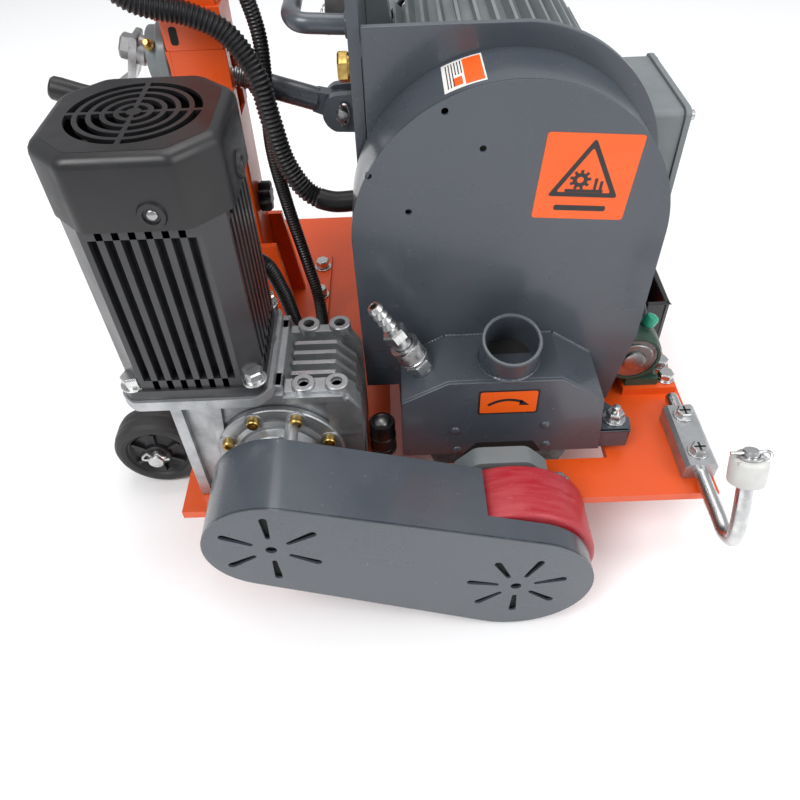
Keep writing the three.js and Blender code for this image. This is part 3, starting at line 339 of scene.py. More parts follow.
def socket_screw(at, axis, radius, height):
    """A cap screw: a turned head with a hollow in its top."""
    rows = [
        (0, 0), (0, radius), (height * 0.85, radius), (height, radius * 0.88),
        (height, radius * 0.55), (height * 0.45, radius * 0.5), (height * 0.45, 0),
    ]
    return turned(rows, at, axis, 20)


def dome_screw(at, axis, radius, height):
    """A turned quarter ellipse: height goes with the sine and radius with the cosine."""
    t = np.linspace(0, np.pi / 2, 7)
    rows = [(0, 0), *zip((height * np.sin(t)).tolist(), (radius * np.cos(t)).tolist())]
    rows[-1] = (height, 0)
    return turned(rows, at, axis, 20)


def piece(name, shells, finish, body, node=None, edge=0.0, segments=2, crease=32.0):
    """Joins closed surfaces into one object in metres: machine millimetres plus the frame's shift, over
    a thousand.
    Faces point outwards, sharp edges are marked and edges may be rounded. A piece without a body is left
    without a parent."""
    corners, faces, base = [], [], 0
    for points, polygons in shells:
        corners.append(points)
        faces += [[i + base for i in f] for f in polygons]
        base += len(points)
    corners = (np.vstack(corners) + FRAME_SHIFT) / 1000
    mesh = bpy.data.meshes.new(name)
    mesh.from_pydata(corners.tolist(), [], faces)
    work = bmesh.new()
    work.from_mesh(mesh)
    bmesh.ops.remove_doubles(work, verts=work.verts, dist=2e-6)
    bmesh.ops.dissolve_degenerate(work, edges=work.edges, dist=1e-6)
    bmesh.ops.recalc_face_normals(work, faces=work.faces)
    work.to_mesh(mesh)
    work.free()
    mesh.shade_smooth()
    mesh.set_sharp_from_angle(angle=math.radians(crease))
    mesh.materials.append(finish)
    made = bpy.data.objects.new(name, mesh)
    bpy.context.scene.collection.objects.link(made)
    if edge:
        round_over = made.modifiers.new("rounded_edges", "BEVEL")
        round_over.width = edge / 1000
        round_over.segments = segments
        round_over.limit_method = "ANGLE"
        round_over.angle_limit = math.radians(38)
        round_over.harden_normals = True
    if body:
        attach(made, body)
    if node:
        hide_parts(*([node] if isinstance(node, str) else node))
    return made


# ------------------------------------------------------------------ finishes
def finish(
    name, slot, colour, worn, rough, *, metal=0.0, coat=0.0, patch=18.0, spread=0.35, rough_spread=0.1,
    grain=900.0, bump=0.12, stretch=(1, 1, 1), fleck=0.0, fleck_colour=None, fleck_scale=260.0, level=0.5,
):
    """Base colour drifts to a worn colour by broad noise, flecks sit on top, fine grain drives the bump."""
    material = bpy.data.materials.new(name)
    material.use_nodes = True
    material["slot"] = slot
    tree = material.node_tree
    nodes, links = tree.nodes, tree.links
    shader = nodes["Principled BSDF"]
    where = nodes.new("ShaderNodeTexCoord")
    along = nodes.new("ShaderNodeMapping")
    along.inputs["Scale"].default_value = stretch
    links.new(where.outputs["Object"], along.inputs["Vector"])

    def noise(scale, detail, roughness=0.55):
        """Object-space noise."""
        node = nodes.new("ShaderNodeTexNoise")
        node.inputs["Scale"].default_value = scale
        node.inputs["Detail"].default_value = detail
        node.inputs["Roughness"].default_value = roughness
        links.new(along.outputs["Vector"], node.inputs["Vector"])
        return node.outputs["Fac"]

    def ranged(value, low, high, out_low, out_high):
        """A straight line from one range of values to another."""
        node = nodes.new("ShaderNodeMapRange")
        for key, number in zip(("From Min", "From Max", "To Min", "To Max"), (low, high, out_low, out_high)):
            node.inputs[key].default_value = number
        links.new(value, node.inputs["Value"])
        return node.outputs["Result"]

    def mixed(factor, first, second):
        """Two colours mixed by the factor; either may be a fixed colour or a socket."""
        node = nodes.new("ShaderNodeMix")
        node.data_type = "RGBA"
        links.new(factor, node.inputs["Factor"])
        for key, value in (("A", first), ("B", second)):
            socket = [s for s in node.inputs if s.name == key and s.type == "RGBA"][0]
            if isinstance(value, tuple):
                socket.default_value = (*value, 1)
            else:
                links.new(value, socket)
        return [s for s in node.outputs if s.type == "RGBA"][0]

    broad = noise(patch, 5)
    tone = mixed(ranged(broad, 0.35, 0.68, 0.0, spread), colour, worn)
    roughness = ranged(broad, 0.3, 0.7, max(0.02, rough - rough_spread), min(1.0, rough + rough_spread))
    if fleck:
        spots = noise(fleck_scale, 3, 0.7)
        tone = mixed(ranged(spots, 0.72 - 0.2 * fleck, 0.78 - 0.2 * fleck, 0.0, 0.85), tone,
                     fleck_colour or worn)
    links.new(tone, shader.inputs["Base Color"])
    links.new(roughness, shader.inputs["Roughness"])
    relief = nodes.new("ShaderNodeBump")
    relief.inputs["Strength"].default_value = bump
    relief.inputs["Distance"].default_value = 0.0004
    links.new(noise(grain, 3), relief.inputs["Height"])
    links.new(relief.outputs["Normal"], shader.inputs["Normal"])
    shader.inputs["Metallic"].default_value = metal
    shader.inputs["Coat Weight"].default_value = coat
    shader.inputs["Coat Roughness"].default_value = 0.12
    shader.inputs["Specular IOR Level"].default_value = level
    return material


ORANGE = finish("orange_enamel", "orange_paint", (0.76, 0.088, 0.007), (0.58, 0.062, 0.007), 0.34, coat=0.12,
                patch=9, spread=0.5, grain=500, bump=0.06, fleck=0.25, fleck_colour=(0.34, 0.09, 0.04),
                fleck_scale=150)
GREY = finish("slate_enamel", "grey_paint", (0.052, 0.062, 0.076), (0.075, 0.085, 0.1), 0.3, coat=0.25,
              patch=14, spread=0.55, grain=420, bump=0.07, fleck=0.1, fleck_colour=(0.26, 0.26, 0.27),
              fleck_scale=190)
BLACK = finish("black_enamel", "black_paint", (0.018, 0.018, 0.021), (0.04, 0.04, 0.044), 0.36, coat=0.2,
               patch=30, spread=0.6, grain=1400, bump=0.12, fleck=0.12, fleck_colour=(0.12, 0.12, 0.12),
               fleck_scale=300)
MOTOR_GREY = finish("machine_grey_enamel", "motor_paint", (0.17, 0.19, 0.195), (0.11, 0.125, 0.13), 0.42,
                    coat=0.15,
                    patch=22, spread=0.6, grain=700, bump=0.25, fleck=0.2, fleck_colour=(0.28, 0.29, 0.29))
GREEN = finish("green_cast_iron", "green_cast", (0.018, 0.062, 0.04), (0.01, 0.03, 0.02), 0.45, coat=0.2,
               patch=60, spread=0.7, grain=520, bump=0.5, fleck=0.15, fleck_colour=(0.1, 0.12, 0.1))
CASTING = finish("cast_aluminium", "cast_aluminium", (0.47, 0.48, 0.49), (0.3, 0.31, 0.32), 0.42, metal=0.85,
                 patch=55, spread=0.8, rough_spread=0.15, grain=620, bump=0.45, fleck=0.2,
                 fleck_colour=(0.24, 0.24, 0.25))
ZINC = finish("zinc_plate", "zinc_steel", (0.66, 0.66, 0.65), (0.45, 0.46, 0.47), 0.28, metal=1.0,
              patch=120, spread=0.8, rough_spread=0.12, grain=1500, bump=0.1)
STEEL = finish("bare_steel", "bare_steel", (0.40, 0.40, 0.41), (0.22, 0.21, 0.2), 0.34, metal=1.0,
               patch=70, spread=0.9, rough_spread=0.15, grain=900, bump=0.2, fleck=0.3,
               fleck_colour=(0.15, 0.1, 0.07))
BRASS = finish("brass_plated_screws", "zinc_steel", (0.55, 0.38, 0.12), (0.35, 0.22, 0.07), 0.33, metal=1.0,
               patch=150, spread=0.7, grain=1200, bump=0.1)
CUTTER = finish("tungsten_cutters", "cutter_steel", (0.2, 0.2, 0.21), (0.1, 0.095, 0.09), 0.55, metal=0.9,
                patch=90, spread=0.9, rough_spread=0.2, grain=500, bump=0.5)
RED_TYRE = finish("red_polyurethane", "red_tyre", (0.34, 0.004, 0.014), (0.42, 0.05, 0.06), 0.42, coat=0.05,
                  patch=40, spread=0.7, grain=380, bump=0.3, fleck=0.35, fleck_colour=(0.5, 0.13, 0.12),
                  fleck_scale=120, stretch=(1, 6, 1))
TYRE = finish("black_rubber_tyre", "black_tyre", (0.012, 0.012, 0.013), (0.03, 0.03, 0.03), 0.55,
              patch=60, spread=0.7, grain=700, bump=0.3)
HUB_IRON = finish("rusty_hub", "hub_iron", (0.22, 0.085, 0.03), (0.1, 0.05, 0.03), 0.7, metal=0.4,
                  patch=80, spread=1.0, rough_spread=0.2, grain=420, bump=0.7, fleck=0.5,
                  fleck_colour=(0.3, 0.13, 0.05))
PLASTIC = finish("black_moulding", "black_plastic", (0.008, 0.008, 0.009), (0.015, 0.015, 0.017), 0.4,
                 patch=40, spread=0.6, grain=1600, bump=0.12)
GRIP = finish("grip_rubber", "grip_rubber", (0.014, 0.014, 0.015), (0.028, 0.028, 0.028), 0.62,
              patch=60, spread=0.6, grain=800, bump=0.4)
BELT = finish("belt_rubber", "belt_rubber", (0.015, 0.015, 0.015), (0.035, 0.033, 0.03), 0.75,
              patch=90, spread=0.8, grain=700, bump=0.4)
NYLON = finish("white_nylon", "white_nylon", (0.62, 0.62, 0.6), (0.48, 0.48, 0.45), 0.42,
               patch=60, spread=0.6, grain=700, bump=0.12, fleck=0.1, fleck_colour=(0.4, 0.4, 0.36))
BOX_GREY = finish("box_moulding", "box_plastic", (0.62, 0.62, 0.6), (0.5, 0.5, 0.48), 0.45,
                  patch=20, spread=0.5, grain=1500, bump=0.15)
GREEN_CAP = finish("green_button_cap", "green_button", (0.01, 0.28, 0.07), (0.01, 0.2, 0.05), 0.3, coat=0.3,
                   patch=80)
RED_CAP = finish("red_button_cap", "red_button", (0.5, 0.008, 0.01), (0.38, 0.008, 0.01), 0.3, coat=0.3,
                 patch=80)
LABEL_ORANGE = finish("label_orange_film", "orange_paint", (0.84, 0.112, 0.007), (0.74, 0.09, 0.006), 0.33,
                      patch=30,
                      bump=0.03)
LABEL_BLACK = finish("label_black_ink", "black_paint", (0.012, 0.012, 0.012), (0.03, 0.028, 0.026), 0.4,
                     patch=60,
                     bump=0.03)
LABEL_WHITE = finish("label_white_film", "white_nylon", (0.78, 0.77, 0.74), (0.6, 0.58, 0.55), 0.4, patch=60,
                     bump=0.03)
# Painted shade: a near-black finish for sheets and fills set in hollows, slots and gaps where only shade
# falls; it shares the black_paint slot.
SHADOW = finish("painted_hollow_shade", "black_paint", (0.006, 0.006, 0.006), (0.012, 0.011, 0.01), 0.8, patch=80,
                bump=0.3)
CAP_GREEN = finish("grease_cap", "green_button", (0.02, 0.34, 0.2), (0.02, 0.25, 0.14), 0.35, patch=90)

# ------------------------------------------------------------------ plate, wheels and axle
UP, AHEAD, NEAR = (0, 0, 1), (1, 0, 0), (0, -1, 0)

plate_outline = [
    (-200, -81), (16.5, -81), (16.5, -56), (93.5, -56), (93.5, -81),
    (231, -81), (231, 346), (100, 346), (100, 318), (20, 318), (20, 346), (-200, 346),
]
REAR_X, REAR_Z = -248, 40
arm = [(-178, 68), (-200, 68), *arc(REAR_X, REAR_Z, 15, 120, 260, 14), (-236, 26), (-178, 54)]
piece("base_plate_sheet", [
    prism(plate_outline, 67, 75, "xy", holes=[rectangle(-31, 150, -41, 160)]),
    prism(arm, 44, 50), prism(arm, 216, 222), block(-200, -178, 44, 222, 60, 68),
    *(block(179, 227, y, y + 40, 74.5, 83) for y in (30, 212)),
], ORANGE, "chassis", "base_plate", edge=0.7)

pad_bolts = []
for y in (41, 59, 223, 241):
    pad_bolts += bolt((219, y, 83), UP, 12.4, 5.6, 8, 0, y)
piece("bearing_pad_bolts", pad_bolts, ZINC, "chassis", edge=0.25)


def tyre_profile(y0, y1, outer, inner, shoulder=3.0):
    """Cross-section of a tyre: flat tread, quarter-round shoulders, straight sides."""
    t = np.radians(np.linspace(0, 90, 7))
    low = np.stack([y0 + shoulder - shoulder * np.cos(t), outer - shoulder + shoulder * np.sin(t)], -1)
    high = np.stack([y1 - shoulder + shoulder * np.cos(t), low[:, 1]], -1)[::-1]
    return [(y0, inner), *low.tolist(), *high.tolist(), (y1, inner)]


WHEEL_X, WHEEL_Z = 60, 62.5
piece("drive_wheel_tread", [turned_y(tyre_profile(-130, -84, 62.5, 47), WHEEL_X, WHEEL_Z, 128)], RED_TYRE,
      "drive_wheel", "drive_wheel_tyre")


def wheel_disc(y0, y1, rim=46.7, boss=19.0, hole=10.3):
    """Rim, dished web and boss of a cast wheel, as one closed ring."""
    return [
        (y0 + 1, hole), (y0 + 1, boss - 1.5), (y0 + 2.4, boss), (y0 + 8, boss + 2), (y0 + 8, 38),
        (y0 + 6, 40.5),
        (y0 + 1, 41.5), (y0 + 1, rim), (y1 - 1, rim), (y1 - 1, 41.5), (y1 - 6, 40.5), (y1 - 8, 38),
        (y1 - 8, boss + 2), (y1 - 2.4, boss), (y1 - 1, boss - 1.5), (y1 - 1, hole),
    ]


hub_rivets = [dome_screw((WHEEL_X + 30 * math.cos(a), -92, WHEEL_Z + 30 * math.sin(a)), (0, 1, 0), 4, 3)
             for a in np.radians(np.arange(0, 360, 60))]
piece("drive_wheel_core", [
    turned_y(wheel_disc(-130, -84), WHEEL_X, WHEEL_Z, 64),
    turned_y([(-146.5, 0), (-146.5, 9.6), (-145.5, 10.6), (-63.4, 10.6), (-63.4, 12), (-62.6, 13), (-61, 13),
              (-60, 12),
              (-60, 0)], WHEEL_X, WHEEL_Z, 40),
    turned_y([(-143, 10), (-143, 31), (-141.5, 33), (-138, 33), (-136.5, 31), (-136.5, 19), (-127.5, 19),
              (-127.5, 10)],
             WHEEL_X, WHEEL_Z, 60),
    *hub_rivets,
], HUB_IRON, "drive_wheel", "drive_wheel_hub", edge=0.3)


def wheel_block(y0, y1, name, node, profile, feet, shaft=()):
    """A rounded side view given thickness, with flat feet either side and any shaft."""
    shells = [prism(rounded(profile, 5), y0, y1)]
    for x0, x1 in feet:
        shells.append(block(x0, x1, y0 + 4, y1 - 1, 75, 83))
    shells += list(shaft)
    piece(name, shells, MOTOR_GREY, "chassis", node, edge=1.0, segments=3)


side = [(18, 40), (92, 40), (92, 104), (75, 122), (35, 122), (18, 104)]
wheel_block(-80, -64, "drive_axle_block", "drive_wheel_bracket", side, [(2, 20), (90, 112)])
low_side = [(23, 42), (97, 42), (97, 92), (80, 104), (40, 104), (23, 92)]
wheel_block(322, 349, "idler_axle_block", "idler_wheel_bracket", low_side, [(6, 24), (96, 114)], [
    turned_y([(348, 0), (348, 10), (391.8, 10), (391.8, 14.4), (392.4, 15), (394.4, 15), (395, 14.4),
              (395, 0)],
             WHEEL_X, WHEEL_Z, 40),
])
block_bolts = []
for x, y in ((102, -72), (10, -72), (105, 335), (15, 335)):
    block_bolts += bolt((x, y, 83), UP, 12, 5, 7.5, 0, x)
piece("axle_block_bolts", block_bolts, ZINC, "chassis", edge=0.25)
piece("idler_wheel_tread", [turned_y(tyre_profile(353, 391, 62.5, 44), WHEEL_X, WHEEL_Z, 128)], RED_TYRE,
      "idler",
      "idler_wheel")
piece("idler_wheel_core", [turned_y(wheel_disc(353, 391, 45.5), WHEEL_X, WHEEL_Z, 64)], HUB_IRON, "idler",
      edge=0.3)

for label, y in (("near", 8), ("far", 228)):
    rubber = [(y + 4, 27), (y + 1.2, 29), (y, 33), (y + 1, 36.5), (y + 4, 39.2), (y + 9, 40), (y + 14.2, 40),
              (y + 15, 39.6), (y + 15.8, 40), (y + 21, 40), (y + 26, 39.2), (y + 29, 36.5), (y + 30, 33),
              (y + 28.8, 29), (y + 26, 27)]
    piece(f"rear_wheel_{label}_tread", [turned_y(rubber, REAR_X, REAR_Z, 96)], TYRE, f"rear_{label}",
          f"rear_wheel_{label}")
    disc = [(y, 7.4), (y, 11), (y + 1, 12), (y + 5, 12.6), (y + 6.5, 15), (y + 7, 23), (y + 3.5, 26.5),
            (y + 3.5, 28),
            (y + 26.5, 28), (y + 26.5, 26.5), (y + 23, 23), (y + 23.5, 15), (y + 25, 12.6), (y + 29, 12),
            (y + 30, 11),
            (y + 30, 7.4)]
    spokes = [prism([(REAR_X + d * math.cos(a + lean), REAR_Z + d * math.sin(a + lean))
                     for d, lean in ((12, -0.1), (25, -0.07), (25, 0.07), (12, 0.1))], y + 3, y + 27)
              for a in np.radians(np.arange(30, 390, 60))]
    piece(f"rear_wheel_{label}_core", [turned_y(disc, REAR_X, REAR_Z, 64), *spokes], PLASTIC, f"rear_{label}",
          edge=0.3)


def hairpin(x, y, z, width):
    """A split spring pin: one straight leg through the axle and one waved leg over it, a wire on a
    drawn path."""
    t = np.linspace(0, 1, 40)
    waved = np.stack([x - width + 2 * width * t, np.full(40, y), z + 5 + 3.5 * np.sin(t * 4 * np.pi)], -1)
    bend = np.array([(x - width - 3, y, z + 3.4), (x - width - 3, y, z + 1)])
    straight = np.array([(x - width, y, z), (x, y, z), (x + width + 3, y, z)])
    path, _ = smooth_path(np.vstack([waved[::-4], bend, straight]), 90)
    return swept(path, 1.2, 8)


piece("rear_axle_bar", [rod((REAR_X, 0, REAR_Z), (REAR_X, 266, REAR_Z), 7, 32, 1.2)], ZINC, "chassis",
      "rear_axle")
piece("rear_axle_pins", [hairpin(REAR_X, 4, REAR_Z, 9), hairpin(REAR_X, 262, REAR_Z, 9)], ZINC, "chassis")

# ------------------------------------------------------------------ gearbox and travel motor
GEAR_X, GEAR_Z = -113, 124
MOTOR_X, MOTOR_Y, HOOD_Z = -161, -25, 332
foot_front, step, back_top = [(-56, 76), (-50, 82)], [(-98, 172), (-104, 184)], [(-104, 190), (-186, 190)]
gear_side = [(-186, 76), *foot_front, (-50, 120), (-57, 140), (-66, 172), *step, *back_top]
outer_side = [(-186, 76), *foot_front, (-50, 166), (-60, 184), (-104, 184), *back_top]
left_side = [(-186, 76), (-64, 76), (-64, 172), *step, *back_top]
casing = [
    prism(rounded(gear_side, 1.5), -56, 15.4),
    prism(rounded(left_side, 1.5), 15, 21),
    prism(rounded(outer_side, 1.5), -58, -44),
    prism(rounded(outer_side, 1.5), 7, 15.4),
    block(-198, -120, -66, 16, 185.5, 190),
    block(-186, -178, -64, -57, 76, 186), block(-186, -104, -63, -57, 178, 186),
    prism([(-178, 76), (-160, 76), (-150, 178), (-156, 178), (-168, 84), (-178, 84)], -62, -57),
    prism([(-74, 140), (-50.5, 140), (-50.5, 165), (-58, 178), (-74, 178)], -61, -57),
    prism([(-104, 176), (-60, 176), (-62, 182), (-104, 182)], -62, -57),
]
for y in (-37, -26, -15, -4):
    casing.append(prism([(-100, 165), (-100, 183), (-68, 183), (-54, 168), (-51, 140), (-60, 130)], y - 2,
                        y + 2))
for z in (92, 108, 124, 140, 156):
    casing.append(block(-187.8, -185, -52, 14, z - 1.5, z + 1.5))
piece("gearbox_casting", casing, CASTING, "chassis", "gearbox_housing", edge=1.1, segments=3)
BOSS_SPOTS = ((-66, -51), (-90, -51), (-66, 14), (-90, 14))
pads = []
for x, y in BOSS_SPOTS:
    pads.append(turned_z([(180, 0), (180, 8.5), (186.4, 8.5), (187, 7.9), (187, 4.4), (181, 4.4), (181, 0)],
                         x, y,
                         32))
piece("gearbox_screw_bosses", pads, CASTING, "chassis")
# Painted shade: dark fills in the bottoms of the boss holes stand in for the shade inside them.
piece("gearbox_boss_hole_shade", [rod((x, y, 181), (x, y, 184), 4.3, 20) for x, y in BOSS_SPOTS],
      SHADOW, "chassis")

cover = [turned_y([(-58.3, 12.9), (-58.3, 47), (-59.3, 48), (-63, 48), (-64, 47), (-64, 46), (-64.6, 45),
                   (-64.6, 37),
                   (-66.5, 34), (-66.5, 31), (-73, 30), (-74, 29), (-74, 20), (-70, 17), (-70, 12.9)], GEAR_X,
                   GEAR_Z, 96)]
cover.append(turned_y(collar(-98, -95, 31, 45, 1), GEAR_X, GEAR_Z, 72))
for degrees in (70, 190, 310):
    x, z = polar(GEAR_X, GEAR_Z, 36, degrees)
    cover.append(rod((x, -97, z), (x, -63, z), 5, 20))
cover_ring = [polar(GEAR_X, GEAR_Z, 41, 22.5 + 45 * i) for i in range(8)]
for x, z in cover_ring:
    cover.append(turned([(0, 0), (0, 7.6), (2.6, 7), (2.6, 0)], (x, -62.5, z), NEAR, 24))
piece("gearbox_bearing_cover", cover, CASTING, "chassis", "gearbox_cover", edge=0.4)
piece("gearbox_cover_screws", [socket_screw((x, -64.8, z), NEAR, 4.6, 5.0) for x, z in cover_ring], BRASS,
      "chassis")
piece("gearbox_output_seal", [turned_y([(-70.5, 12.9), (-70.5, 19.5), (-71.4, 20), (-72.4, 19),
                                        (-72.4, 12.9)],
                                       GEAR_X, GEAR_Z, 60)],
      PLASTIC, "chassis")


def sprocket(x, z, teeth, root, tip, y0, y1):
    """A toothed disc: the radius swings between root and tip once per tooth, flattened at both ends."""
    t = np.linspace(0, 2 * np.pi, teeth * 12, endpoint=False)
    wave = np.clip(1.35 * np.cos(teeth * t), -1, 1)
    r = (tip + root) / 2 + (tip - root) / 2 * wave
    return prism(np.stack([x + r * np.cos(t), z + r * np.sin(t)], -1).tolist(), y0, y1,
                 holes=[circle(x, z, 11, 40)])


piece("gearbox_output_shaft", [
    rod((GEAR_X, -146.5, GEAR_Z), (GEAR_X, -22, GEAR_Z), 12.5, 40, 1),
    sprocket(GEAR_X, GEAR_Z, 13, 22.5, 26, -142.5, -137),
    turned_y([(-137, 12), (-137, 18), (-136, 19), (-129, 19), (-128, 18), (-128, 12)], GEAR_X, GEAR_Z, 48),
], STEEL, "gearbox_output", "gearbox_output_sprocket", edge=0.25)


def chain_run():
    """Link plates in step along the loop round the two wheels, inner and outer pairs by turns."""
    loop = np.array(belt_outline(GEAR_X, GEAR_Z, 29.6, WHEEL_X, WHEEL_Z, 36.6, 60))
    loop = np.vstack([loop, loop[:1]])
    s = np.concatenate([[0], np.cumsum(np.linalg.norm(np.diff(loop, axis=0), axis=1))])
    links = 2 * int(round(s[-1] / 12.7 / 2))
    at = np.linspace(0, s[-1], links + 1)
    p = np.stack([np.interp(at, s, loop[:, k]) for k in (0, 1)], -1)
    shells = []
    for i in range(links):
        a, b = p[i], p[i + 1]
        d = (b - a) / np.linalg.norm(b - a)
        angle = math.degrees(math.atan2(d[1], d[0]))
        shape = arc(*a, 2.8, angle + 90, angle + 270, 5) + arc(*b, 2.8, angle - 90, angle + 90, 5)
        inset = 1.6 if i % 2 else 0.0
        shells += [prism(shape, -144.3 + inset, -143.1 + inset), prism(shape, -136.4 - inset, -135.2 - inset)]
        shells.append(rod((a[0], -144.4, a[1]), (a[0], -135.1, a[1]), 1.9, 8, 0.2))
    return shells


piece("drive_chain_links", chain_run(), STEEL, "chassis", "drive_chain")

# Chain guard: a deep pan whose wall is cut back to a lip where the wheel stands.
GUARD_Y, LIP_Y, GUARD_BACK = -150.0, -132.0, -90.0


def vent(cx, cz, count, start):
    """Round centre hole and slots that widen outwards, with round ends."""
    shapes = [circle(cx, cz, 4, 20)]
    for i in range(count):
        a = start + 360 * i / count
        c, s = math.cos(math.radians(a)), math.sin(math.radians(a))
        inner = arc(cx + 15 * c, cz + 15 * s, 1.7, a + 90, a + 270, 5)
        outer = arc(cx + 35 * c, cz + 35 * s, 2.8, a - 90, a + 90, 7)
        shapes.append(inner + outer)
    return shapes


def guard_outline(inset=0.0, count=90):
    """Two circles about the output shaft and the wheel joined by tangents, drawn in by the inset."""
    return belt_outline(GEAR_X, GEAR_Z, 47.5 - inset, WHEEL_X, WHEEL_Z, 57.5 - inset, count)


def guard_wall(thickness):
    """The wall follows the outline; each point's depth is full except where the pan is cut back for the
    wheel."""
    outer, inner = (np.array(guard_outline(inset)) for inset in (0, thickness))
    fine_o, fine_i = [], []
    for i in range(len(outer)):
        j = (i + 1) % len(outer)
        steps = max(1, int(np.linalg.norm(outer[j] - outer[i]) / 4))
        t = np.arange(steps)[:, None] / steps
        fine_o.append(outer[i] + t * (outer[j] - outer[i]))
        fine_i.append(inner[i] + t * (inner[j] - inner[i]))
    outer, inner = np.vstack(fine_o), np.vstack(fine_i)
    shallow = (outer[:, 0] > 38) | ((outer[:, 0] > -20) & (outer[:, 1] < 62))
    back = np.where(shallow, LIP_Y, GUARD_BACK)
    change = np.flatnonzero(back != np.roll(back, -1))
    for at in sorted(change.tolist(), reverse=True):
        nxt = (at + 1) % len(back)
        outer = np.insert(outer, at + 1, outer[at] * 0.02 + outer[nxt] * 0.98, 0)
        inner = np.insert(inner, at + 1, inner[at] * 0.02 + inner[nxt] * 0.98, 0)
        back = np.insert(back, at + 1, back[at])
    front = np.full(len(back), GUARD_Y + 1.0)
    rows = [(outer, front), (outer, back), (inner, back), (inner, front)]
    corners = np.concatenate([np.stack([p[:, 0], y, p[:, 1]], -1) for p, y in rows])
    return corners, grid_faces(4, len(back), True, True)


piece("chain_guard_pan", [
    prism(guard_outline(), GUARD_Y, GUARD_Y + 2,
          holes=vent(GEAR_X, GEAR_Z, 6, 90) + vent(WHEEL_X, WHEEL_Z, 7, -90)),
    guard_wall(2.0),
], GREY, "chassis", "chain_guard", edge=0.9, segments=3)
# Painted shade: a dark sheet just inside the guard's front face, seen through the vent slots as the shade
# inside the pan.
piece("chain_guard_inner_shade", [prism(guard_outline(3, 50), GUARD_Y + 3.2, GUARD_Y + 3.7)],
      SHADOW, "chassis")

# Travel motor: a ribbed extrusion on a square flange, with a moulded fan cover.
piece("motor_adapter_plate", [prism(rounded(chamfered(MOTOR_X, MOTOR_Y, 52, 10), 4), 190, 198, "xy")],
      CASTING,
      "chassis", "gearbox_motor_adapter", edge=0.7)
flange_bolts = []
for sx in (-41, 41):
    for sy in (-41, 41):
        flange_bolts += bolt((MOTOR_X + sx, MOTOR_Y + sy, 206), UP, 13, 6.5, 9, 0, sx + sy)
piece("motor_flange_bolts", flange_bolts, ZINC, "chassis", edge=0.3)


def ribbed_section():
    """One side is a row of upright ribs with deep round-bottomed grooves; four sides make the ring."""
    side_points = []
    half, pitch, groove, depth = 47.0, 9.4, 2.6, 9.0
    for c in pitch * np.arange(-3, 4):
        side_points += [(c - groove, 0), (c - groove, depth - 1.5), (c - 1.2, depth), (c + 1.2, depth),
                        (c + groove, depth - 1.5), (c + groove, 0)]
    ring = []
    for turn in range(4):
        a = turn * math.pi / 2
        c, s = math.cos(a), math.sin(a)
        for x, d in [(-half + 12.5, 0), *side_points, (half - 12.5, 0)]:
            y = -(half - d)
            ring.append((MOTOR_X + x * c - y * s, MOTOR_Y + x * s + y * c))
    return ring


piece("motor_flange_plate", [prism(rounded(chamfered(MOTOR_X, MOTOR_Y, 49, 6), 3), 198.3, 206, "xy")], BLACK,
      "chassis", edge=0.8)
motor_shells = [prism(ribbed_section(), 205.5, HOOD_Z - 0.3, "xy"),
                prism(rounded(chamfered(MOTOR_X, MOTOR_Y, 47, 14), 3), 205, 214, "xy"),
                prism(rounded(chamfered(MOTOR_X, MOTOR_Y, 47, 14), 3), HOOD_Z - 8, HOOD_Z - 0.3, "xy")]
piece("travel_motor_ribs", motor_shells, BLACK, "chassis", "drive_motor_body", edge=0.45)


def ring_slots(cx, cy, radius, width, count, gap):
    """Curved slots of one ring: arcs there and back with a gap between neighbours."""
    shapes = []
    for i in range(count):
        a0 = 360 / count * i + math.degrees(gap / radius)
        a1 = 360 / count * (i + 1) - math.degrees(gap / radius)
        shapes.append(arc(cx, cy, radius, a0, a1, 14) + arc(cx, cy, radius - width, a1, a0, 14))
    return shapes


def fan_hood():
    """Rings carried up from skirt to crown, each the same chamfered square with round corners, drawn in."""
    rings = []
    for z, half, cut in ((HOOD_Z, 52, 22), (368.6, 52, 22), (371.4, 51.4, 21.8), (373.6, 50, 21.3),
                         (375, 47.8, 20.5), (375.6, 45.2, 19.5)):
        ring = np.array(rounded(chamfered(MOTOR_X, MOTOR_Y, half, cut), 4, 5))
        rings.append(np.column_stack([ring, np.full(len(ring), z)]))
    inside = np.array(rounded(chamfered(MOTOR_X, MOTOR_Y, 49.5, 21), 4, 5))
    for z, share in ((373.2, 0.86), (370, 0.96), (HOOD_Z, 1.0)):
        ring = (inside - (MOTOR_X, MOTOR_Y)) * share + (MOTOR_X, MOTOR_Y)
        rings.append(np.column_stack([ring, np.full(len(ring), z)]))
    rows, columns = len(rings), len(rings[0])
    return np.vstack(rings), grid_faces(rows, columns, True, True)


crown = rounded(chamfered(MOTOR_X, MOTOR_Y, 45.4, 19.6), 4, 5)
slots = []
for radius, width in ((38, 4.6), (30.5, 4.6), (23, 4.6), (15.5, 4.4), (8, 3.6)):
    slots += ring_slots(MOTOR_X, MOTOR_Y, radius, width, 4, 1.6)
screw_pad = [(0, 0), (0, 8.5), (2.2, 7.6), (2.2, 5), (0.8, 4.6), (0.8, 0)]
SCREW_Z = HOOD_Z + 10
piece("fan_cover_hood", [
    fan_hood(),
    prism(crown, 373.2, 375.7, "xy", holes=slots),
    turned(screw_pad, (MOTOR_X + 12, -76.6, SCREW_Z), NEAR, 32),
    turned(screw_pad, (MOTOR_X + 51.6, MOTOR_Y, SCREW_Z), AHEAD, 32),
], PLASTIC, "chassis", "drive_motor_fan_cover")
piece("fan_cover_screws", [dome_screw((MOTOR_X + 12, -77, SCREW_Z), NEAR, 3.6, 1.8),
                            dome_screw((MOTOR_X + 52, MOTOR_Y, SCREW_Z), AHEAD, 3.6, 1.8)],
      STEEL, "chassis")


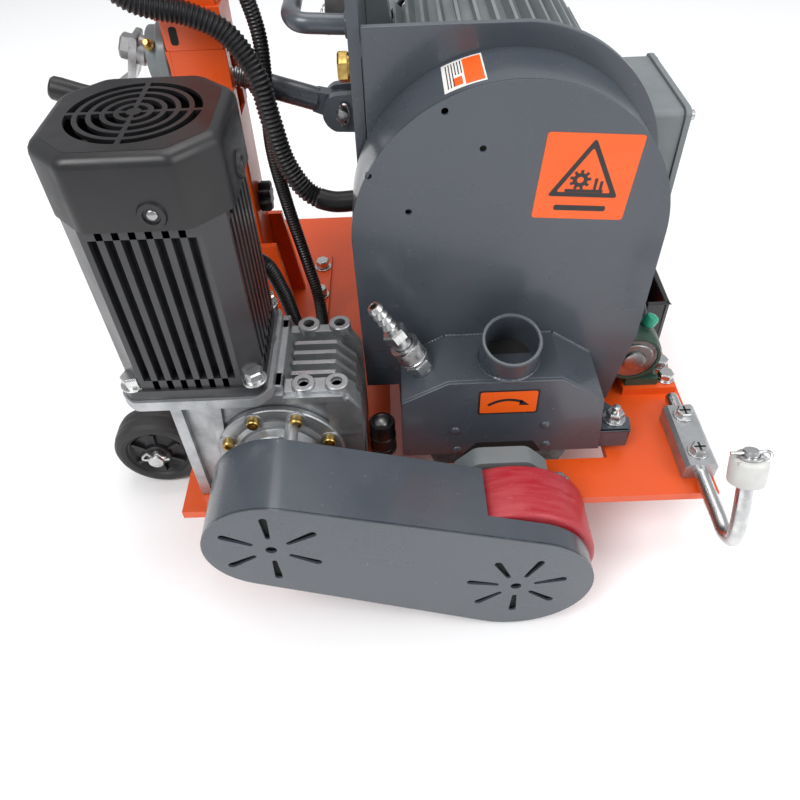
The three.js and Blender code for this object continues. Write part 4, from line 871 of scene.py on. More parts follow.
def fan_blades(cx, cy, z0, z1, hub, tip, count, lean=0.35):
    """Blades that twist: each blade is a thin wall whose top edge is turned ahead of its bottom edge."""
    shells = [turned_z([(z0, 0), (z0, hub), (z1 - 1, hub), (z1, hub - 1), (z1, 0)], cx, cy, 36)]
    r = np.linspace(hub - 1, tip, 6)
    for i in range(count):
        a = 2 * math.pi * i / count
        rows = []
        for z, turn in ((z0 + 1, 0.0), (z1 - 1, lean)):
            for thick in (-0.02, 0.02):
                t = a + turn + thick * hub / r * 3
                rows.append(np.stack([cx + r * np.cos(t), cy + r * np.sin(t), np.full(6, float(z))], -1))
        order = np.concatenate([rows[0], rows[1], rows[3], rows[2]])
        faces = grid_faces(4, 6, True, False)
        faces += [[0, 6, 12, 18], [5, 23, 17, 11]]
        shells.append((order, faces))
    return shells


piece("travel_motor_fan", [*fan_blades(MOTOR_X, MOTOR_Y, 346, 362, 12, 41, 9),
                           turned_z([(344, 0), (344, 40), (346, 40), (346, 0)], MOTOR_X, MOTOR_Y, 48)],
      PLASTIC, "drive_rotor")
piece("travel_motor_shaft", [
    rod((MOTOR_X, MOTOR_Y, 222), (MOTOR_X, MOTOR_Y, HOOD_Z - 1), 28, 48, 1),
    rod((MOTOR_X, MOTOR_Y, HOOD_Z - 2), (MOTOR_X, MOTOR_Y, 362), 6, 24)],
    STEEL, "drive_rotor", "drive_motor_rotor")

# ------------------------------------------------------------------ pivot bearings and stops
PIVOT_X, PIVOT_Z = 182, 116
for label, y0, y1 in (("near", 32, 68), ("far", 214, 250)):
    m = (y0 + y1) / 2
    housing = [(y0 + 1, 21), (y0 + 1, 23.5), (y0 + 3, 24), (y0 + 5, 25.2), (y0 + 10, 25.5), (m, 26),
               (y1 - 10, 25.5),
               (y1 - 5, 25.2), (y1 - 3, 24), (y1 - 1, 23.5), (y1 - 1, 21)]
    foot = [(180, 83), (210, 83), (210, 91), (205, 94), (203, 112), (182, 118)]
    web = [prism(rounded(foot, 2), y0 + 5, y1 - 5), block(181, 210, y0 + 2, y1 - 2, 83, 91)]
    boss = turned([(0, 0), (0, 7), (7, 5.6), (8, 5), (8, 0)], (PIVOT_X + 7.6, m, PIVOT_Z + 17.4),
                  (11, 0, 25), 24)
    piece(f"pivot_housing_{label}", [turned_y(housing, PIVOT_X, PIVOT_Z, 72), *web, boss], GREEN, "chassis",
          f"pivot_bearing_{label}", edge=1.0, segments=3)
    piece(f"pivot_insert_{label}", [
        turned_y(collar(y0, y1, 10.3, 17, 0.6), PIVOT_X, PIVOT_Z, 64),
        turned_y([(y0 + 2.4, 16.8), (y0 + 2.0, 18), (y0 + 2.0, 20.5), (y0 + 3, 21.3), (y1 - 3, 21.3),
                  (y1 - 2, 20.5),
                  (y1 - 2.0, 18), (y1 - 2.4, 16.8)],
                 PIVOT_X, PIVOT_Z, 64),
    ], STEEL, "chassis")
    tip = (PIVOT_X + 11.2, m, PIVOT_Z + 25.4)
    piece(f"pivot_grease_cap_{label}",
          [turned([(-1, 0), (-1, 3.4), (0, 5.4), (2, 6), (6.4, 6), (8.6, 5.2), (9.8, 3), (10, 0)], tip,
                  (4.8, 0, 11),
                  24)],
          CAP_GREEN, "chassis")

piece("front_stop_bent_sheet", [
    block(206, 226, 88, 92, 75, 132), block(222, 226, 88, 140, 75, 132), block(206, 226, 136, 140, 75, 132),
    block(206, 226, 88, 140, 75, 80),
], BLACK, "chassis", "front_stop_bracket", edge=1.2, segments=3)
BUMP_X, BUMP_Y = -37, -21
piece("bump_stop_stack", [
    turned_z([(75, 0), (75, 10.4), (75.6, 11), (81, 11), (81.6, 10.4), (90, 10.4), (90.6, 11), (94, 11),
              (94.6, 10.4), (107.6, 10.6), (109, 9.8), (109, 0)], BUMP_X, BUMP_Y, 40),
], PLASTIC, "chassis", "bump_stop")
piece("bump_stop_nut", [turned_z([(108.6, 0), (108.6, 7.4), (110, 7), (111.8, 5.2), (112.8, 2.6), (113, 0)],
                                 BUMP_X,
                                 BUMP_Y, 36)], STEEL, "chassis", edge=0.3)

# Guide rod in its clamp, with roller and split pin
block_side = [(205, 75), (231, 75), (231, 89), (228, 92), (208, 92), (205, 89)]
piece("guide_clamp_body", [prism(block_side, -66, 0), block(205.4, 230.6, -65.6, -0.4, 82.9, 83.1)], CASTING,
      "chassis", "guide_clamp_block", edge=0.7)
piece("guide_clamp_screws", sum(([washer((218, y, 92), UP, 8.5),
                                  hexagon((218, y, 93.4), UP, 12, 5, y)] for y in (-52, -12)), []),
      ZINC, "chassis", edge=0.3)
# Painted shade: dark bars laid on the screw heads stand in for the shade in their cross recesses.
piece("guide_clamp_screw_recess_shade",
      sum(([block(213.4, 222.6, y - 0.8, y + 0.8, 97.9, 98.55),
            block(217.2, 218.8, y - 4.6, y + 4.6, 97.9, 98.55)]
                                      for y in (-52, -12)), []), SHADOW, "chassis")
ROD_X, ROD_Z = 218, 83.5
rod_path, _ = smooth_path([(ROD_X, 18, ROD_Z), (ROD_X, -40, ROD_Z), (ROD_X, -105, ROD_Z),
                           (ROD_X, -126, ROD_Z + 1),
                           (ROD_X, -134, ROD_Z + 8), (ROD_X, -133, ROD_Z + 20),
                           (ROD_X, -108.8, ROD_Z + 78.9)], 90)
rod_radius = np.full(90, 5.8)
rod_radius[[0, -1]] = 5.0
piece("guide_rod_bar", [swept(rod_path, rod_radius, 28)], ZINC, "guide", "guide_rod")
LEG = np.array([0, 23, 56]) / math.hypot(23, 56)


def along_leg(distance):
    """A point on the rod's raised end: its foot plus the distance along its direction."""
    return np.array([ROD_X, -133, ROD_Z + 20]) + LEG * distance


piece("guide_roller_turned", [turned([(38, 6.8), (38, 11.2), (38.8, 12.4), (40, 12.8), (45, 13), (55, 13),
                                      (56.6, 12.6),
                                      (57.8, 11.4), (58, 10.4), (58, 6.8)], along_leg(0), LEG, 56)], NYLON,
                                      "guide_roller", "guide_roller")
clip_at = along_leg(61.6)
ring_path, _ = smooth_path([clip_at + v for v in ((-14, 0, 0), (-8, -0.3, 0), (6, 0, 0), (11.6, 0, 0.5),
                                                  (13.2, -2.5, 0), (11, -6.4, -1),
                                                  (5, -7.6, -2), (0, -6.8, -2), (-5, -7.8, -2),
                                                  (-11, -7.8, -2.4))],
                                                  90)
piece("roller_split_pin", [turned([(58.6, 6.3), (58.6, 9), (60, 9), (60, 6.3)], along_leg(0), LEG, 36),
                           swept(ring_path, 1.25, 10)],
      ZINC, "guide", "roller_retaining_clip")

# ------------------------------------------------------------------ swing frame
SPINDLE_X, SPINDLE_Z, MAIN_X, MAIN_Z = 61, 84, 61, 255
back_outline = [(-37, 112), (-12, 112), (-12, 42), (134, 42), (134, 96), (150, 94),
                *arc(PIVOT_X, PIVOT_Z, 24, 220, 395, 16), (177, 205),
                *arc(MAIN_X + 2, MAIN_Z + 14, 113, -5, 85, 34), (20, 382), (-37, 382)]
piece("belt_case_back_sheet", [prism(back_outline, 70, 76,
                                     holes=[circle(MAIN_X, MAIN_Z, 36, 48),
                                            circle(SPINDLE_X, SPINDLE_Z, 26, 40),
                                                                 circle(PIVOT_X, PIVOT_Z, 10.3, 28)])],
      GREY, "swing_frame", "belt_back_plate", edge=0.8)
CASE_RADIUS = 112
case_arc = arc(MAIN_X, MAIN_Z, CASE_RADIUS, 0, 180, 72)
face_outline = [*case_arc, (-49, 113), (-12, 113), (-12, 44), (130, 44), (130, 86), (160, 86), (172, 160)]
wall_outline = [*face_outline[:-2], (150, 100), (150, 150), (171, 190)]
wall_inner = [*arc(MAIN_X, MAIN_Z, CASE_RADIUS - 2, 0, 180, 72), (-47, 115), (-10, 115), (-10, 46), (128, 46),
              (128, 88), (148, 101), (148, 150), (169, 190)]
case_holes = [circle(x, z, 2.3, 20) for x, z in ((14, 349.5), (39, 324), (-36, 308), (-10, 280))]
piece("belt_case_shell", [
    prism(face_outline, 17, 19.2, holes=[circle(SPINDLE_X, SPINDLE_Z, 22, 36), *case_holes]),
    prism(wall_outline, 18, 69.7, holes=[wall_inner]),
], GREY, "swing_frame", "belt_guard", edge=0.9, segments=3)
# Painted shade: a dark disc just inside the case front stands in for the shade within the belt case.
piece("belt_case_inner_shade", [prism(circle(MAIN_X - 46, MAIN_Z + 50, 36, 40), 19.6, 20.0)], SHADOW,
      "swing_frame")


def weld_bead(points, radius, waves, seed):
    """A bead along a path whose radius rises and falls in short ripples with a little wander."""
    path, length = smooth_path(points, int(waves * 5))
    s = np.linspace(0, 1, len(path))
    random = np.random.default_rng(seed)
    wander = np.interp(s, np.linspace(0, 1, 14), random.normal(0, 0.12, 14))
    return swept(path, radius * (1 + 0.16 * np.abs(np.sin(s * waves * math.pi)) + wander), 10)


housing_outer = [(-21, 83), (-20, 146), (16, 166), (102, 166), (137, 142), (142, 83)]
housing_inner = [(-18, 80), (-17, 144.5), (16.8, 163), (101, 163), (134.2, 140.4), (139, 80)]
shell_section = housing_outer + [(139, 83), *housing_inner[4:0:-1], (-18, 83)]
piece("cutter_hood_shell", [prism(shell_section, -35, 16.7), prism(housing_outer, -38, -34.9)], GREY,
      "swing_frame",
      "cutter_housing",
      edge=0.8, segments=3)
BASE, TOP = np.array([63, -9, 155.0]), np.array([63, -24, 196.0])
port_axis = (TOP - BASE) / np.linalg.norm(TOP - BASE)
port_length = float(np.linalg.norm(TOP - BASE))
piece("dust_port_tube", [
    turned([(8.6, 19.5), (8.6, 22.5), (port_length - 0.8, 22.5), (port_length, 21.8), (port_length, 20.2),
            (port_length - 0.8, 19.5)],
           BASE, port_axis, 72),
    weld_bead([(63 + 23.4 * math.cos(a), -12.4 + 24.8 * math.sin(a),
                166.2) for a in np.linspace(0, 2 * math.pi, 25)], 1.5, 34, 3),
], GREY, "swing_frame")
# Painted shade: a dark disc at the bottom of the port's bore stands in for the shade down the tube.
piece("dust_port_bore_shade", [turned([(9, 0), (9, 19.3), (9.6, 19.3), (9.6, 0)], BASE, port_axis, 48)], SHADOW,
      "swing_frame")
piece("cutter_hood_welds", [
    weld_bead([(-20, 16.6, 84), (-20, 16.6, 144), (-18, 16.6, 147)], 1.3, 22, 4),
    weld_bead([(-19, 16.6, 146.4), (15, 16.6, 165.6)], 1.3, 14, 5),
    weld_bead([(17, 16.6, 166.3), (101, 16.6, 166.3)], 1.3, 30, 6),
    weld_bead([(103, 16.6, 165.6), (136, 16.6, 142.6)], 1.3, 14, 7),
], GREY, "swing_frame")
piece("cutter_hood_screws", [dome_screw((x, -38, z), NEAR, 3.8, 2.2) for x,
                             z in ((22, 113), (94, 116), (24, 89), (97, 92))],
      GREY, "swing_frame")
# Painted shade: a thin dark patch on the hood front stands in for a shaded gap at the hood's lower front.
piece("cutter_hood_gap_shade", [prism(rounded([(29, 83.2), (94, 83.2), (86, 97), (40, 97)], 1.5), -38.12,
                                   -37.9)],
      SHADOW, "swing_frame")
piece("hood_ear", [
    prism([(141.5, 1), (152, 1), (169, -20), (166, -34), (140.5, -34)], 97, 100, "xy"),
    prism([(140.8, 81), (166, 81), (166, 100), (139.2, 100)], -34, -31),
], GREY, "swing_frame", edge=0.7)
piece("hood_ear_stud", bolt((156, -20, 100), UP, 13, 6, 9.5, 6, 0.2), ZINC, "swing_frame", edge=0.3)

# Water coupler: hexagon, socket with sliding sleeve, hexagon and barbed tail
HOSE = np.array([-2, -10, 156.0])
HOSE_AXIS = np.array([-0.485, 0, 0.874])


def along_hose(distance):
    """A point on the coupler's axis: its seat plus the distance along its direction."""
    return HOSE + HOSE_AXIS * distance


barbs = [(47, 4.8)]
for at in (51, 57, 63, 69):
    barbs += [(at, 4.9), (at + 0.8, 6.2), (at + 4.6, 4.9)]
piece("water_coupler_body", [
    turned([(0.4, 0), (0.4, 9), (4, 9), (5, 8), (5, 0)], along_hose(0), HOSE_AXIS, 40),
    hexagon(along_hose(4), HOSE_AXIS, 19, 8),
    turned([(11, 3.5), (11, 7.5), (13, 7.2), (40, 7.2), (40, 3.5)], along_hose(0), HOSE_AXIS, 40),
    hexagon(along_hose(39), HOSE_AXIS, 17, 8.5),
    turned([(44, 3), (44, 5), *barbs, (74, 4.6), (74, 3)], along_hose(0), HOSE_AXIS, 40),
], ZINC, "swing_frame", "water_coupler", edge=0.2)


def knurled_sleeve():
    """A sleeve whose outer skin carries a fine wave round and along it, so that small diamonds stand up."""
    d = np.linspace(14.6, 30.4, 34)
    sides, diamonds, knurl_half = 120, 30, 6
    t = np.linspace(0, 2 * np.pi, sides, endpoint=False)
    slant = d[:, None] * 2.2
    wave = 0.22 * np.cos(diamonds * t[None] + slant) * np.cos(diamonds * t[None] - slant)
    r = 11.0 + wave * (np.abs(d[:, None] - 22.5) < knurl_half)
    r = np.where(np.abs(d[:, None] - 22.5) > 6.6, 11.5, r)
    d = np.concatenate([[14.6], d, [30.4]])
    bore = np.full((1, sides), 7.8)
    r = np.vstack([bore, r, bore])
    axis, across, over = frame_along(HOSE_AXIS)
    ring = np.cos(t)[:, None] * across + np.sin(t)[:, None] * over
    corners = HOSE + d[:, None, None] * axis + r[:, :, None] * ring[None]
    return corners.reshape(-1, 3), grid_faces(len(d), sides, True, True)


piece("water_coupler_knurled_sleeve", [knurled_sleeve()], ZINC, "coupler_sleeve", "water_coupler_sleeve")


# ------------------------------------------------------------------ labels
def face_label(name, corner, along, up, parts, lift, body):
    """Flat printed shapes on a face: each part is (outline, holes, ink, layer), measured from the lower
    left corner.
    Corners go to corner + u*along + v*up, pushed off the face by the layer's height."""
    corner, along, up = (np.asarray(v, float) for v in (corner, along, up))
    out = np.cross(along, up)
    for i, (outline, holes, ink, layer) in enumerate(parts):
        flat, faces = prism(outline, 0, 0.12, "xy", holes)
        points = corner + flat[:, :1] * along + flat[:, 1:2] * up + (flat[:, 2:3] + lift + 0.1 * layer) * out
        piece(f"{name}_{i}", [(points, faces)], ink, body)


def cog(cx, cy, teeth, root, tip):
    """A gear outline: the radius is the tip for half of each tooth's turn and the root for the rest."""
    t = np.linspace(0, 2 * np.pi, teeth * 8, endpoint=False)
    r = np.where((np.arange(len(t)) % 8) < 4, tip, root)
    return np.stack([cx + r * np.cos(t), cy + r * np.sin(t)], -1).tolist()


def inset_triangle(cx, cy, r, corner):
    """An upright triangle on a circle, with round corners."""
    return rounded([(cx + r * math.cos(a), cy + r * math.sin(a)) for a in np.radians((90, 210, 330))],
                   corner, 4)


CASE_Y = 17
low_left, low_right = np.array([75, CASE_Y, 272.0]), np.array([139, CASE_Y, 267.0])
label_along = (low_right - low_left) / np.linalg.norm(low_right - low_left)
label_up = np.cross(np.array([0, -1.0, 0]), label_along)
face_label("caution_label", low_left, label_along, label_up, [
    (rounded(rectangle(0, 64, 0, 62), 2.5), [], LABEL_ORANGE, 0),
    (inset_triangle(32, 31, 28, 3), [inset_triangle(32, 31, 21.5, 2)], LABEL_BLACK, 1),
    (cog(28, 29.5, 9, 5.0, 7.2), [circle(28, 29.5, 2.3, 20)], LABEL_BLACK, 1),
    (rectangle(19, 45, 20.4, 22.6), [], LABEL_BLACK, 1),
    (rectangle(38, 40, 22.6, 31), [], LABEL_BLACK, 1),
    (rectangle(42, 44, 22.6, 29), [], LABEL_BLACK, 1),
    (rounded(rectangle(14, 50, 6.5, 10.5), 1.6), [], LABEL_BLACK, 1),
], 0.05, "swing_frame")
arrow = [*arc(23, -8, 25, 130, 62, 12), *arc(23, -8, 22.4, 62, 130, 12)]
head = [(33, 15.6), (40, 9.2), (31.6, 9.6)]
face_label("turn_label", (39, -38, 131), AHEAD, UP, [
    (rounded(rectangle(0, 47, 0, 26), 2.4), [], LABEL_BLACK, 0),
    (rounded(rectangle(1.5, 45.5, 1.5, 24.5), 2), [], LABEL_ORANGE, 1),
    (arrow, [], LABEL_BLACK, 2), (head, [], LABEL_BLACK, 2),
], 0.05, "swing_frame")


def wall_film(from_mm, to_mm, lift, thickness, y0, y1, count):
    """A film on the round wall: arcs just off it there and back, at angles that grow with the length."""
    start, end = (WALL_LABEL_START + length * DEGREES_PER_MM for length in (from_mm, to_mm))
    there = arc(MAIN_X, MAIN_Z, CASE_RADIUS + lift, start, end, count)
    back = arc(MAIN_X, MAIN_Z, CASE_RADIUS + lift - thickness, end, start, count)
    return prism(there + back, y0, y1)


WALL_LABEL_START, DEGREES_PER_MM = 95, 0.28
for k, (a0, a1, y0, y1, ink, lift) in enumerate((
    (20, 70, 24, 66, LABEL_WHITE, 0.08), (22, 44, 26, 64, LABEL_ORANGE, 0.16),
    (47, 58, 28, 40, LABEL_ORANGE, 0.16),
)):
    piece(f"wall_label_{k}", [wall_film(a0, a1, lift, 0.06, y0, y1, 13)], ink, "swing_frame")
piece("wall_label_lines", [
    wall_film(46 + i * 3.6, 47.2 + i * 3.6, 0.22, 0.12, 44 if i < 3 else 28, 63, 1) for i in range(6)
], LABEL_BLACK, "swing_frame")

# ------------------------------------------------------------------ spindle, belt and cutter
piece("cutter_spindle_shaft", [
    rod((SPINDLE_X, -33, SPINDLE_Z), (SPINDLE_X, 152, SPINDLE_Z), 12.5, 40, 1.2),
    turned_y([(12, 0), (12, 17), (20, 17), (20, 0)], SPINDLE_X, SPINDLE_Z, 48)],
      STEEL, "cutter_spindle", "spindle_shaft")
piece("spindle_cartridge", [turned_y([(76.3, 12.9), (76.3, 37.2), (77, 38), (87, 38), (88, 37), (88, 33.6),
                                      (89, 33),
                                      (146, 33), (148, 31), (148, 12.9)], SPINDLE_X, SPINDLE_Z, 72)],
      MOTOR_GREY, "swing_frame", "spindle_bearing_housing", edge=0.4)


def cutter_head():
    """Stars of pointed teeth on six pins between two side discs: each star's edge is a zigzag of eight
    points."""
    shells = [turned_y([(y, 12.8), (y, 58), (y + 1, 60), (y + 4, 60), (y + 5, 58), (y + 5, 12.8)],
                       SPINDLE_X, SPINDLE_Z, 72) for y in (-27, 4)]
    shells.append(turned_y([(-22.2, 12.8), (-22.2, 22), (4.2, 22), (4.2, 12.8)], SPINDLE_X, SPINDLE_Z, 48))
    for i in range(6):
        x, z = polar(SPINDLE_X, SPINDLE_Z, 48, 60 * i)
        shells.append(rod((x, -26, z), (x, 8, z), 6.5, 20))
        for k in range(5):
            t = np.linspace(0, 2 * np.pi, 16, endpoint=False) + 0.2 * k
            r = np.where(np.arange(16) % 2, 21, 27.6)
            y = -20.6 + 5 * k
            shells.append(prism(np.stack([x + r * np.cos(t), z + r * np.sin(t)], -1).tolist(), y, y + 3.6))
    return shells


piece("cutter_head_stars", cutter_head(), CUTTER, "cutter_spindle", "cutter_wheel", edge=0.3)


def vee_pulley(x, z, radius, bore, grooves=2):
    """Rim profile with vee grooves cut between flat lands."""
    rows = [(26, bore), (26, radius)]
    for k in range(grooves):
        y = 31.5 + 14 * k
        rows += [(y - 1.5, radius), (y + 2.6, radius - 6.6), (y + 7.4, radius - 6.6), (y + 11.5, radius)]
    rows += [(62, radius), (62, bore)]
    return turned_y(rows, x, z, 72)


piece("motor_vee_pulley", [vee_pulley(MAIN_X, MAIN_Z, 44, 14.3)], STEEL, "motor_rotor", "motor_pulley")
piece("spindle_vee_pulley", [vee_pulley(SPINDLE_X, SPINDLE_Z, 34, 12.8)], STEEL, "cutter_spindle",
      "spindle_pulley")


def vee_belts():
    """Two loops of a trapezoid section round both pulleys: wide outside, narrow inside."""
    shells = []
    for y in (36.5, 50.5):
        outer = np.array(belt_outline(MAIN_X, MAIN_Z, 45, SPINDLE_X, SPINDLE_Z, 35, 48))
        inner = np.array(belt_outline(MAIN_X, MAIN_Z, 38.2, SPINDLE_X, SPINDLE_Z, 28.2, 48))
        rows = [(outer, y - 5.6), (outer, y + 5.6), (inner, y + 3), (inner, y - 3)]
        corners = np.concatenate([np.stack([p[:, 0], np.full(len(p), q), p[:, 1]], -1) for p, q in rows])
        shells.append((corners, grid_faces(4, len(outer), True, True)))
    return shells


piece("drive_vee_belts", vee_belts(), BELT, "swing_frame", "drive_belt")

# ------------------------------------------------------------------ motor bracket and main motor
PIN_X, PIN_Z, STRUT_Y = -60, 286, 175
lug = rounded([(-46, PIN_Z - 16), *arc(PIN_X, PIN_Z, 16, 250, 110, 16), (-46, PIN_Z + 16)], 1.5, 2)
piece("motor_upright", [
    prism(rounded(rectangle(76.3, 286, 122, 420), 6), -46, -38, "yz"),
    block(-40, 172, 76.3, 206, 122, 130), block(150, 182, 76.3, 206, 116, 130),
    turned_y([(76.3, 9), (76.3, 19.4), (77, 20), (205.4, 20), (206, 19.4), (206, 9)], PIVOT_X, PIVOT_Z, 56),
    prism(lug, 160, 168), prism(lug, 182, 190),
], GREY, "swing_frame", "motor_bracket", edge=0.9, segments=3)
piece("pivot_shaft_bar", [rod((PIVOT_X, 29, PIVOT_Z), (PIVOT_X, 253, PIVOT_Z), 10, 36, 1.2)], STEEL,
      "swing_frame")
foot_bolts = []
for y, z in ((112, 342), (252, 342), (112, 172), (252, 172)):
    foot_bolts += bolt((-46, y, z), (-1, 0, 0), 19, 7.4, 13, 0, y + z)
piece("motor_foot_bolts", foot_bolts, BRASS, "swing_frame", edge=0.35)
piece("rubber_buffer", [turned([(-1, 0), (-1, 12), (0, 13), (4, 12.4), (8, 12), (12, 12.4), (16, 13),
                                (16, 0)],
                               (-46, 128, 372), (-1, 0, 0), 40)],
      GRIP, "swing_frame")
piece("rubber_buffer_stud", [rod((-60, 128, 372), (-66, 128, 372), 4, 20, 0.8),
                             hexagon((-61, 128, 372), (-1, 0, 0), 12, 3.6)], ZINC, "swing_frame", edge=0.3)
piece("clevis_pin_turned", [
    rod((PIN_X, 155, PIN_Z), (PIN_X, 195, PIN_Z), 5, 28, 0.9),
    turned_y([(190.5, 0), (190.5, 8), (193.8, 8), (195, 7), (195, 0)], PIN_X, PIN_Z, 32),
    swept(smooth_path([(PIN_X, 157, PIN_Z - 8), (PIN_X, 157, PIN_Z), (PIN_X, 157, PIN_Z + 9.5)], 12)[0], 1.4,
          10),
    swept(smooth_path([(PIN_X + 1, 157, PIN_Z + 9), (PIN_X + 5, 157, PIN_Z + 8), (PIN_X + 6, 157, PIN_Z),
                       (PIN_X + 4, 157, PIN_Z - 6), (PIN_X + 1, 157, PIN_Z - 8)], 30)[0], 1.1, 8),
], ZINC, "swing_frame", "clevis_pin")
handle_path, _ = smooth_path([(-46.5, 92, 377), (-62, 92, 378), (-78, 94, 379), (-84, 104, 380),
                              (-85, 125, 380),
                              (-85, 215, 380),
                              (-84, 236, 380), (-78, 246, 379), (-62, 248, 378), (-46.5, 248, 377)], 120)
piece("lifting_handle_tube", [
    swept(handle_path, 6.5, 24),
    *(weld_bead([(-46.6, y + 7.4 * math.cos(a),
                  377 + 7.4 * math.sin(a)) for a in np.linspace(0, 2 * math.pi, 17)],
                1.1, 16, seed) for y, seed in ((92, 8), (248, 9))),
], GREY, "swing_frame", "lifting_handle")


def fin_section():
    """Round frame with straight fins: the outline steps from the barrel out to each fin tip and back."""
    points = []
    tips = np.degrees(np.arange(0, 2 * np.pi, np.radians(7.5)))
    for a in tips:
        finned = 15 <= a <= 150 or 205 <= a <= 335
        r = 106 if finned else 97
        for da, rr in ((-3.75, 95.8), (-1.1, 95.8), (-0.75, r), (0.75, r), (1.1, 95.8)):
            t = math.radians(a + da)
            points.append((MAIN_X + rr * math.cos(t), MAIN_Z + rr * math.sin(t)))
    return points


foot_web = [(-37.7, 165), (-20, 165), (-14, 200), (-14, 310), (-20, 350), (-37.7, 350)]
piece("main_motor_barrel", [
    prism(fin_section(), 112, 284, holes=[circle(MAIN_X, MAIN_Z, 84, 72)]),
    turned_y([(100, 84), (100, 95), (101, 96), (114, 96), (114, 84)], MAIN_X, MAIN_Z, 96),
    turned_y([(282, 84), (282, 96), (295, 96), (296, 95), (296, 84)], MAIN_X, MAIN_Z, 96),
    turned_y([(96, 14.4), (96, 40), (97, 60), (99, 84), (100, 86), (112, 86), (112, 14.4)], MAIN_X, MAIN_Z,
             96),
    turned_y([(282, 14.4), (282, 86), (294, 86), (296, 84), (296, 14.4)], MAIN_X, MAIN_Z, 96),
    prism(foot_web, 106, 136), prism(foot_web, 236, 268),
    prism(rounded(rectangle(104, 190, 215, 295), 6), 148, 176, "yz"),
    prism(rounded(rectangle(92, 202, 198, 308), 7), 168.5, 196, "yz"),
], MOTOR_GREY, "swing_frame", "main_motor_frame", edge=0.7)
piece("terminal_box_lid", [prism(rounded(rectangle(90, 204, 196, 310), 8), 196.3, 200.6, "yz"),
                           prism(rounded(rectangle(95, 199, 201, 305), 7), 200, 202, "yz")],
      MOTOR_GREY, "swing_frame", "terminal_box_cover", edge=0.9, segments=3)
piece("terminal_box_lid_screws",
      [socket_screw((201.8, y, z), AHEAD, 3.8, 2.7) for y in (97, 197) for z in (203, 303)],
      ZINC, "swing_frame")
rear_slots = []
for radius in (82, 70, 58, 46, 34):
    rear_slots += ring_slots(MAIN_X, MAIN_Z, radius, 6, 6, 3.0)
hood_rim = [(296.3, 99), (296.3, 101), (352, 101), (356, 100.2), (359.4, 97.6), (361.6, 94), (362, 91),
            (360, 91),
            (358, 94), (355, 97.6), (351, 99)]
piece("main_fan_hood", [turned_y(hood_rim, MAIN_X, MAIN_Z, 112),
                        prism(circle(MAIN_X, MAIN_Z, 91.6, 96), 359.8, 361.8, holes=rear_slots)],
      MOTOR_GREY, "swing_frame", "main_motor_fan_cover")
fan_points, fan_faces = zip(*fan_blades(0, 0, 306, 338, 22, 78, 9))
turned_fan = [(np.stack([p[:, 0] + MAIN_X, p[:, 2], p[:, 1] + MAIN_Z], -1), f) for p,
              f in zip(fan_points, fan_faces)]
piece("main_motor_fan", turned_fan, PLASTIC, "motor_rotor")
piece("main_motor_shaft", [rod((MAIN_X, 24, MAIN_Z), (MAIN_X, 336, MAIN_Z), 14, 40, 1.2),
                           rod((MAIN_X, 130, MAIN_Z), (MAIN_X, 262, MAIN_Z), 52, 64, 1)],
      STEEL, "motor_rotor", "main_motor_rotor")

# ------------------------------------------------------------------ mast, jack and handlebar
foot_plate = [(-196, 79), (-119, 79), (-131, 172), (-190, 172)]
piece("mast_foot_gussets", [
    prism(rounded(rectangle(-200, -93, 136, 264), 4), 75, 80, "xy"),
    prism(foot_plate, 144, 149.7), prism(foot_plate, 200.3, 206),
], ORANGE, "chassis", "mast_foot", edge=0.8)
piece("mast_foot_bolts", bolt((-102, 188, 80), UP, 13, 6.5, 9, 0, 0.3) + bolt((-102, 238, 80), UP, 13, 6.5,
                                                                              9, 0,
                                                                              0.9),
      ZINC, "chassis", edge=0.3)


def mast_tube():
    """Square tube as four walls; the walls fore and aft have a window where the jack passes through."""
    middle = (-165.5, STRUT_Y)
    ring = np.array(rounded(rectangle(-188, -143, 150, 200), 3.5, 4))
    inner = (ring - middle) * (0.87, 0.885) + middle
    shells = [prism(ring.tolist(), z0, z1, "xy", holes=[inner.tolist()]) for z0,
              z1 in ((80.3, 287), (344, 700))]
    walls = [(-188, -143, y, y + 3) for y in (150, 197)]
    walls += [(x, x + 3, y, y + 13) for x in (-188, -146) for y in (150, 187)]
    shells += [prism(rectangle(*wall), 287, 344, "xy") for wall in walls]
    return shells + [prism(rectangle(-190, -141, 148, 202), 366, 374, "xy", holes=[ring.tolist()])]


piece("mast_square_tube", mast_tube(), ORANGE, "chassis", "mast", edge=0.3)
# Painted shade: a dark patch on the mast's face stands in for the shade in its slot.
piece("mast_slot_shade", [prism(rounded(rectangle(-182, -176, 348, 361), 2.6), 149.7, 150.2)], SHADOW, "chassis")

SWIVEL_X, SWIVEL_Z = -200, 332.5
BEAR = np.array([SWIVEL_X, STRUT_Y, SWIVEL_Z])
strut_length = math.hypot(PIN_X - SWIVEL_X, PIN_Z - SWIVEL_Z)
STRUT = np.array([(PIN_X - SWIVEL_X) / strut_length, 0, (PIN_Z - SWIVEL_Z) / strut_length])
SIDEWAYS = np.array([STRUT[2], 0, -STRUT[0]])


def along_strut(distance, side=0.0):
    """A point on the jack: the swivel's centre plus a distance along the strut and one square to it."""
    return BEAR + STRUT * distance + SIDEWAYS * side


piece("jack_bearing_casting", [
    turned([(0, 16.6), (0, 26.4), (0.8, 27), (6.5, 27), (8, 25.5), (8, 22.6), (9, 22), (16.2, 22), (17.2, 21),
            (17.2, 16.6)],
           (-188.3, STRUT_Y, SWIVEL_Z), (-1, 0, 0), 64),
], MOTOR_GREY, "chassis", "jack_bearing_flange", edge=0.4)
piece("jack_grease_nipple", [turned([(0, 0), (0, 4), (3, 4), (3.6, 2.6), (7, 2.4), (8, 3), (10, 1.8),
                                     (10, 0)],
                                    (-200, 155, 347), (0, -16, 11), 20)],
      BRASS, "chassis")
piece("jack_swivel_bush", [turned([(-5, 8.3), (-5, 14), (-3.6, 15), (3.6, 15), (5, 14), (5, 8.3)], BEAR,
                                  STRUT, 48)],
      STEEL, "jack_swivel", "jack_bearing_insert")


